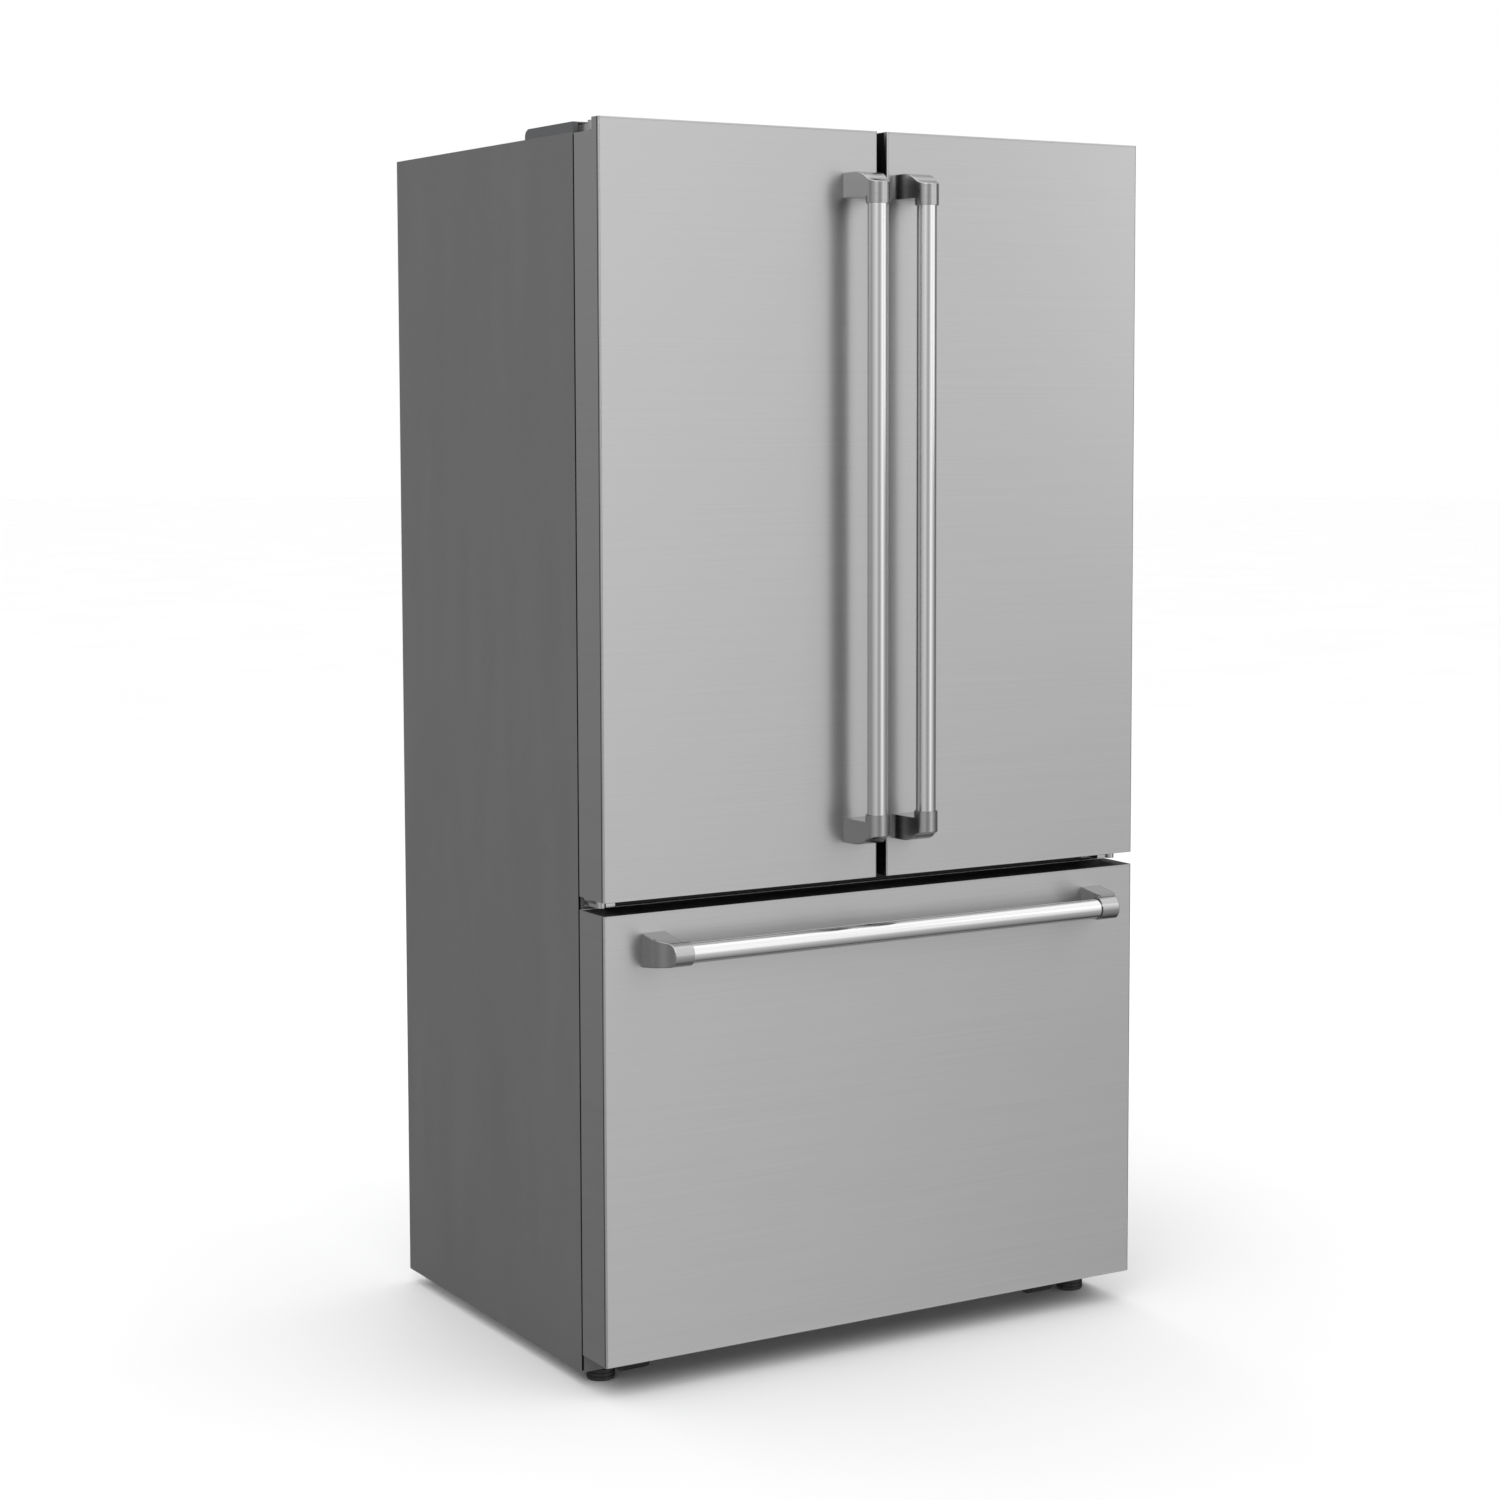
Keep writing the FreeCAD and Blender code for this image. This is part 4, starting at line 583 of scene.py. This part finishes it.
def set_screws():
    """Grub screws that hold each handle bracket, inside their small side holes."""
    for side, sign in (("left", 1), ("right", -1)):
        low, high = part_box(f"{side}_handle_brackets")
        seat = (low[0] + high[0]) / 2 + sign * (BRACKET_SIDE - GRUB_HEIGHT)

        def code(work):
            for z in (low[2] + BRACKET_POST, high[2] - BRACKET_POST):
                centre = (seat, FRONT - SCREW_REACH, z)
                add_screw(work, centre, (sign, 0, 0), GRUB_RADIUS, GRUB_HEIGHT)

        name = f"{side}_handle_grub_screws"
        finish_piece(name, code, f"{side}_door", "screw_steel")
    low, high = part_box("drawer_handle_brackets")
    seat = (low[2] + high[2]) / 2 - BRACKET_SIDE + GRUB_HEIGHT

    def drawer_code(work):
        for x in (low[0] + BRACKET_POST, high[0] - BRACKET_POST):
            centre = (x, FRONT - SCREW_REACH, seat)
            add_screw(work, centre, (0, 0, -1), GRUB_RADIUS, GRUB_HEIGHT)

    finish_piece("drawer_handle_grub_screws", drawer_code, "drawer", "screw_steel")


set_screws()


RIB_COUNT = 17
RIB_INSET = 0.03  # from the end of the basket to the first rib
RIB_HALF_WIDTH = 0.0015
RIB_DEPTH = 0.002


def basket_ribs():
    """Upright ribs on the front and the back of the basket, and a bar under its front rim."""
    low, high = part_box("freezer_basket")
    wall_x = high[0] - 0.008
    step = 2 * (wall_x - RIB_INSET) / (RIB_COUNT - 1)

    def code(work):
        for index in range(RIB_COUNT):
            x = RIB_INSET - wall_x + step * index
            for y in (low[1] - 0.0018, high[1] - 0.0002):
                add_box(
                    work,
                    (x - RIB_HALF_WIDTH, y, low[2] + 0.02),
                    (x + RIB_HALF_WIDTH, y + RIB_DEPTH, high[2] - 0.04),
                )
        add_box(
            work,
            (-wall_x, low[1] - 0.003, high[2] - 0.012),
            (wall_x, low[1] + 0.0005, high[2] - 0.002),
        )

    finish_piece("basket_ribs", code, "drawer", "white_plastic", 0.0005)


basket_ribs()


HEM_WIDTH = 0.0022
HEM_HEIGHT = 0.0003
HEM_INSET = 0.003


def hems(name, body):
    """Thin strips where the steel folds back along the top and the bottom of a front."""
    low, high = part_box(f"{body}_skin")

    def code(work):
        for bottom in (low[2], high[2] - HEM_WIDTH):
            add_box(
                work,
                (low[0] + HEM_INSET, low[1] - HEM_HEIGHT, bottom),
                (high[0] - HEM_INSET, low[1] + ROOT, bottom + HEM_WIDTH),
            )

    finish_piece(f"{name}_hems", code, body, "skin_steel", 0.0002)


hems("left", "left_door")
hems("right", "right_door")
hems("drawer", "drawer")


# ---- fridge interior ----


SHELF_TRIM_INSET = 0.002


def shelf_trims():
    """Bright rail along the front edge of each shelf."""
    low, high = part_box("shelf_frames")

    def code(work):
        for level in SHELF_LEVELS:
            add_box(
                work,
                (low[0] + SHELF_TRIM_INSET, low[1] - 0.0016, level - 0.005),
                (high[0] - SHELF_TRIM_INSET, low[1] + ROOT, level + 0.007),
            )

    finish_piece("shelf_trims", code, "cabinet", "trim_steel", 0.0007)


shelf_trims()


LAMP_STARTS = (-0.095, 0.035)
LAMP_SIZE = (0.058, 0.078, 0.003)
LAMP_FRONT = -0.049


def lamps():
    """Two glowing diffusers in the light housing."""
    low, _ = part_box("light_housing")

    def code(work):
        for start in LAMP_STARTS:
            corner = Vector((start + 0.001, LAMP_FRONT, low[2] + 0.0006))
            add_box(work, corner, corner + Vector(LAMP_SIZE))

    finish_piece("lamp_diffusers", code, "cabinet", "lamp", 0.0008)


lamps()


KNUCKLE_CLEARANCE = 0.0135
STRIP_MARGIN = 0.006  # at the top and the bottom of the mullion


def mullion_shade_strip():
    """Strip that the right door's seal rests on, clear of the knuckles; its near-black, nearly
    glossless finish is painted shade for the centre gap.
    """
    low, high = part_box("flip_mullion")

    def code(work):
        add_box(
            work,
            (low[0] + KNUCKLE_CLEARANCE, low[1] - 0.0003, low[2] + STRIP_MARGIN),
            (high[0] - 0.0035, low[1] + ROOT, high[2] - STRIP_MARGIN),
        )

    finish_piece("mullion_shade_strip", code, "mullion", "painted_gap_shade", 0.0002)


mullion_shade_strip()


# ---- outside fittings ----


def front_screws():
    """A screw near each end of the base rail."""
    low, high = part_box("base_rail")

    def code(work):
        for sign in (-1, 1):
            centre = (sign * (high[0] - 0.006), low[1], low[2] + 0.013)
            add_screw(work, centre, (0, -1, 0), radius=0.0042, height=0.0022)

    finish_piece("base_rail_screws", code, "cabinet", "black_paint")


front_screws()


def cover_screws():
    """One screw in the top of each hinge cover."""
    _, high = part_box("hinge_covers")

    def code(work):
        for sign in (-1, 1):
            centre = (sign * (high[0] - 0.030), high[1] - 0.035, high[2])
            add_screw(work, centre, (0, 0, 1), radius=0.0045, height=0.0016)

    finish_piece("hinge_cover_screws", code, "cabinet", "black_plastic")


cover_screws()


def cover_fronts():
    """Small plates that close the front of each hinge cover on both sides of the hinge arm."""
    low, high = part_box("hinge_covers")
    wall = 0.002
    outer_plate = (high[0] - 0.0088, high[0] - wall)
    inner_plate = (high[0] - 0.062, high[0] - 0.0243)

    def code(work):
        for sign in (-1, 1):
            for near, far in (inner_plate, outer_plate):
                x0, x1 = sorted((sign * near, sign * far))
                add_box(
                    work,
                    (x0, low[1] + 0.0002, low[2] + 0.0002),
                    (x1, low[1] + 0.0016, high[2] - wall),
                )

    finish_piece("hinge_cover_fronts", code, "cabinet", "cover_plastic", 0.0002)


cover_fronts()


# Washer screws as (radius, height) from the top of the head outwards and down.
BACK_SCREW = ((0, 0.0025), (0.003, 0.0025), (0.0032, 0.001), (0.005, 0.0006), (0.005, 0), (0, 0))
COVER_SCREW = ((0, 0.0015), (0.003, 0.0015), (0.0032, 0.0008), (0.005, 0.0005), (0.005, 0), (0, 0))
BACK_ROWS = 9
BACK_MARGIN = 0.03
SCREW_SIDES = 12


def rear_screws():
    """Washer screws down both sides of the back panel and round the machine cover."""
    back_low, back_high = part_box("back_panel")
    cover_low, cover_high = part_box("rear_cover")
    pitch = (back_high[2] - back_low[2] - 2 * BACK_MARGIN) / (BACK_ROWS - 1)

    def code(work):
        for row in range(BACK_ROWS):
            z = back_low[2] + BACK_MARGIN + pitch * row
            for sign in (-1, 1):
                centre = (sign * (back_high[0] - 0.022), back_high[1] - 0.0012, z)
                add_lathe(work, BACK_SCREW, centre, (0, 1, 0), SCREW_SIDES)
        for sign in (-1, 0, 1):
            for z in (cover_low[2] + 0.012, cover_high[2] - 0.012):
                centre = (sign * (cover_high[0] - 0.024), cover_high[1], z)
                add_lathe(work, COVER_SCREW, centre, (0, 1, 0), SCREW_SIDES)

    finish_piece("rear_screws", code, "cabinet", "screw_steel")


rear_screws()


AXLE_HEAD = ((0, 0.003), (0.004, 0.0028), (0.0065, 0.0015), (0.0065, 0), (0, 0))
AXLE_REACH = 0.004  # from the side of a roller to the head of its axle


def axle_heads():
    """Bright ends of the front roller axles."""

    def code(work):
        for node in ("left_front_roller", "right_front_roller"):
            low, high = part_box(node)
            centre_y = (low[1] + high[1]) / 2
            centre_z = (low[2] + high[2]) / 2
            for x, direction in ((low[0] - AXLE_REACH, -1), (high[0] + AXLE_REACH, 1)):
                add_lathe(work, AXLE_HEAD, (x, centre_y, centre_z), (direction, 0, 0))

    finish_piece("roller_axle_heads", code, "cabinet", "zinc_steel")


axle_heads()


SEAM_HALF_HEIGHT = 0.005
# Rounded band as (radius, height) from the middle of the compressor.
COMPRESSOR_SEAM = (
    (0.0715, -SEAM_HALF_HEIGHT),
    (0.0745, -0.0045),
    (0.0745, -0.001),
    (0.0735, 0),
    (0.0745, 0.001),
    (0.0745, 0.0045),
    (0.0715, SEAM_HALF_HEIGHT),
)
COMPRESSOR_MIDDLE = Vector((-0.280, 0.282, 0.118))
COPPER_RADIUS = 0.0032
COPPER_LINES = {
    "discharge_line": (
        (-0.215, 0.300, 0.150),
        (-0.180, 0.330, 0.200),
        (-0.100, 0.345, 0.215),
        (0.040, 0.345, 0.210),
        (0.066, 0.330, 0.190),
        (0.072, 0.306, 0.165),
    ),
    "suction_line": (
        (-0.340, 0.300, 0.222),
        (-0.340, 0.305, 0.238),
        (-0.360, 0.330, 0.246),
        (-0.405, 0.350, 0.246),
        (-0.420, 0.360, 0.252),
    ),
}


def compressor_seam():
    """Weld seam round the compressor."""

    def code(work):
        add_lathe(work, COMPRESSOR_SEAM, COMPRESSOR_MIDDLE, (0, 0, 1), 48)
        for height in (-SEAM_HALF_HEIGHT, SEAM_HALF_HEIGHT):
            level = COMPRESSOR_MIDDLE.z + height
            work.faces.new([v for v in work.verts if abs(v.co.z - level) < 1e-6])

    finish_piece("compressor_seam", code, "cabinet", "black_paint")


def copper_line(name, points):
    """Bent copper tube through a row of points."""
    curve = bpy.data.curves.new(name, "CURVE")
    curve.dimensions = "3D"
    curve.bevel_depth = COPPER_RADIUS
    curve.bevel_resolution = 4
    curve.use_fill_caps = True
    spline = curve.splines.new("NURBS")
    spline.points.add(len(points) - 1)
    for point, place in zip(spline.points, points):
        point.co = (*place, 1)
    spline.order_u = 3
    spline.use_endpoint_u = True
    curve.materials.append(look["copper"])
    line = bpy.data.objects.new(name, curve)
    bpy.context.scene.collection.objects.link(line)
    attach(line, "cabinet")


compressor_seam()
for name, points in COPPER_LINES.items():
    copper_line(name, points)


# ---- floor, light and camera ----


def floor():
    """Wide pale floor."""
    surface = Surface("studio_floor", (0.9, 0.9, 0.9), 0.8)
    surface.tint(surface.noise((1.5, 1.5, 1.5), 2), 0.99, 1.01)
    work = bmesh.new()
    bmesh.ops.create_circle(work, cap_ends=True, segments=96, radius=40)
    mesh = bpy.data.meshes.new("studio_floor")
    work.to_mesh(mesh)
    work.free()
    mesh.materials.append(surface.material)
    plane = bpy.data.objects.new("studio_floor", mesh)
    bpy.context.scene.collection.objects.link(plane)
    # The steel mirrors the room and its darker lower half instead of the pale floor.
    plane.visible_glossy = False


floor()


# Degrees from the front, towards the viewer's right, and how bright the room is there.
ROOM = (
    (-180, 0.25),
    (-150, 0.42),
    (-125, 0.4),
    (-92, 0.5),
    (-60, 0.85),
    (-42, 0.95),
    (-20, 0.4),
    (0, 0.6),
    (14, 1.3),
    (27, 1.55),
    (40, 0.75),
    (55, 0.65),
    (74, 0.35),
    (95, 0.12),
    (130, 0.1),
    (180, 0.25),
)
ROOM_PEAK = 2.0  # the ramp's colours end at 1, so it holds the levels as shares of this
# The dome and the lower half start and end at these heights on a sphere of radius 1.
DOME_HEIGHTS = (0.25, 0.9)
DOME_LEVEL = 1.5
LOWER_HEIGHTS = (-0.3, 0.05)
LOWER_SHARE = 0.53


def studio_world():
    """Studio room: soft bands round the object, a bright dome and a darker lower half.

    The camera itself sees plain white.
    """
    world = bpy.data.worlds.new("studio")
    bpy.context.scene.world = world
    world.use_nodes = True
    tree = world.node_tree
    tree.nodes.clear()
    add = tree.nodes.new
    link = tree.links.new
    coords = add("ShaderNodeTexCoord")
    split = add("ShaderNodeSeparateXYZ")
    link(coords.outputs["Generated"], split.inputs["Vector"])
    flip = add("ShaderNodeMath")
    flip.operation = "MULTIPLY"
    flip.inputs[1].default_value = -1
    link(split.outputs["Y"], flip.inputs[0])
    around = add("ShaderNodeMath")
    around.operation = "ARCTAN2"
    link(split.outputs["X"], around.inputs[0])
    link(flip.outputs["Value"], around.inputs[1])
    share = map_range(tree, around.outputs["Value"], -math.pi, math.pi, 0.0, 1.0)

    bands = add("ShaderNodeValToRGB")
    bands.color_ramp.interpolation = "B_SPLINE"
    elements = bands.color_ramp.elements
    while len(elements) < len(ROOM):
        elements.new(0.5)
    for element, (degrees, level) in zip(elements, ROOM):
        element.position = (degrees + 180) / 360
        element.color = (level / ROOM_PEAK, level / ROOM_PEAK, level / ROOM_PEAK, 1)
    link(share, bands.inputs["Fac"])
    brighten = add("ShaderNodeVectorMath")
    brighten.operation = "SCALE"
    brighten.inputs["Scale"].default_value = ROOM_PEAK
    link(bands.outputs["Color"], brighten.inputs[0])

    dome = add("ShaderNodeMix")
    dome.data_type = "RGBA"
    dome.inputs[MIX_SECOND].default_value = (DOME_LEVEL, DOME_LEVEL, DOME_LEVEL, 1)
    above = map_range(tree, split.outputs["Z"], *DOME_HEIGHTS, 0.0, 1.0)
    link(above, dome.inputs["Factor"])
    link(brighten.outputs["Vector"], dome.inputs[MIX_FIRST])
    lit = add("ShaderNodeBackground")
    link(dome.outputs[MIX_RESULT], lit.inputs["Color"])
    strength = map_range(tree, split.outputs["Z"], *LOWER_HEIGHTS, LOWER_SHARE, 1.0)
    link(strength, lit.inputs["Strength"])

    plain = add("ShaderNodeBackground")
    plain.inputs["Color"].default_value = (1.0, 1.0, 1.0, 1)
    path = add("ShaderNodeLightPath")
    pick = add("ShaderNodeMixShader")
    link(path.outputs["Is Camera Ray"], pick.inputs["Fac"])
    link(lit.outputs["Background"], pick.inputs[1])
    link(plain.outputs["Background"], pick.inputs[2])
    output = add("ShaderNodeOutputWorld")
    link(pick.outputs["Shader"], output.inputs["Surface"])


studio_world()


LIGHT_TARGET = (0, 0, 0.9)


def soft_light(name, place, size, power):
    """Rectangular lamp aimed at the middle of the object."""
    lamp_data = bpy.data.lights.new(name, "AREA")
    lamp_data.shape = "RECTANGLE"
    lamp_data.size, lamp_data.size_y = size
    lamp_data.energy = power
    light = bpy.data.objects.new(name, lamp_data)
    light.location = place
    aim = Vector(LIGHT_TARGET) - Vector(place)
    light.rotation_euler = aim.to_track_quat("-Z", "Y").to_euler()
    bpy.context.scene.collection.objects.link(light)


soft_light("key", (-3.2, -3.6, 3.6), (2.2, 2.2), 30)
soft_light("fill", (3.8, -3.0, 2.4), (2.4, 2.4), 12)
soft_light("back", (0.6, 4.2, 3.2), (2.6, 1.6), 25)

CAMERA_TILT = 4.642  # degrees below level
CAMERA_TURN = -31.825  # degrees about Z
camera_data = bpy.data.cameras.new("camera")
camera_data.sensor_width = 36
camera_data.lens = 71.719
camera_data.shift_x = -0.0688
camera_data.shift_y = -0.07
camera = bpy.data.objects.new("camera", camera_data)
camera.location = (-2.3096, -3.9479, 1.3906)
camera.rotation_euler = (math.radians(90 - CAMERA_TILT), 0, math.radians(CAMERA_TURN))
bpy.context.scene.collection.objects.link(camera)
bpy.context.scene.camera = camera

bpy.context.scene.view_settings.view_transform = "Standard"
bpy.context.scene.view_settings.look = "None"
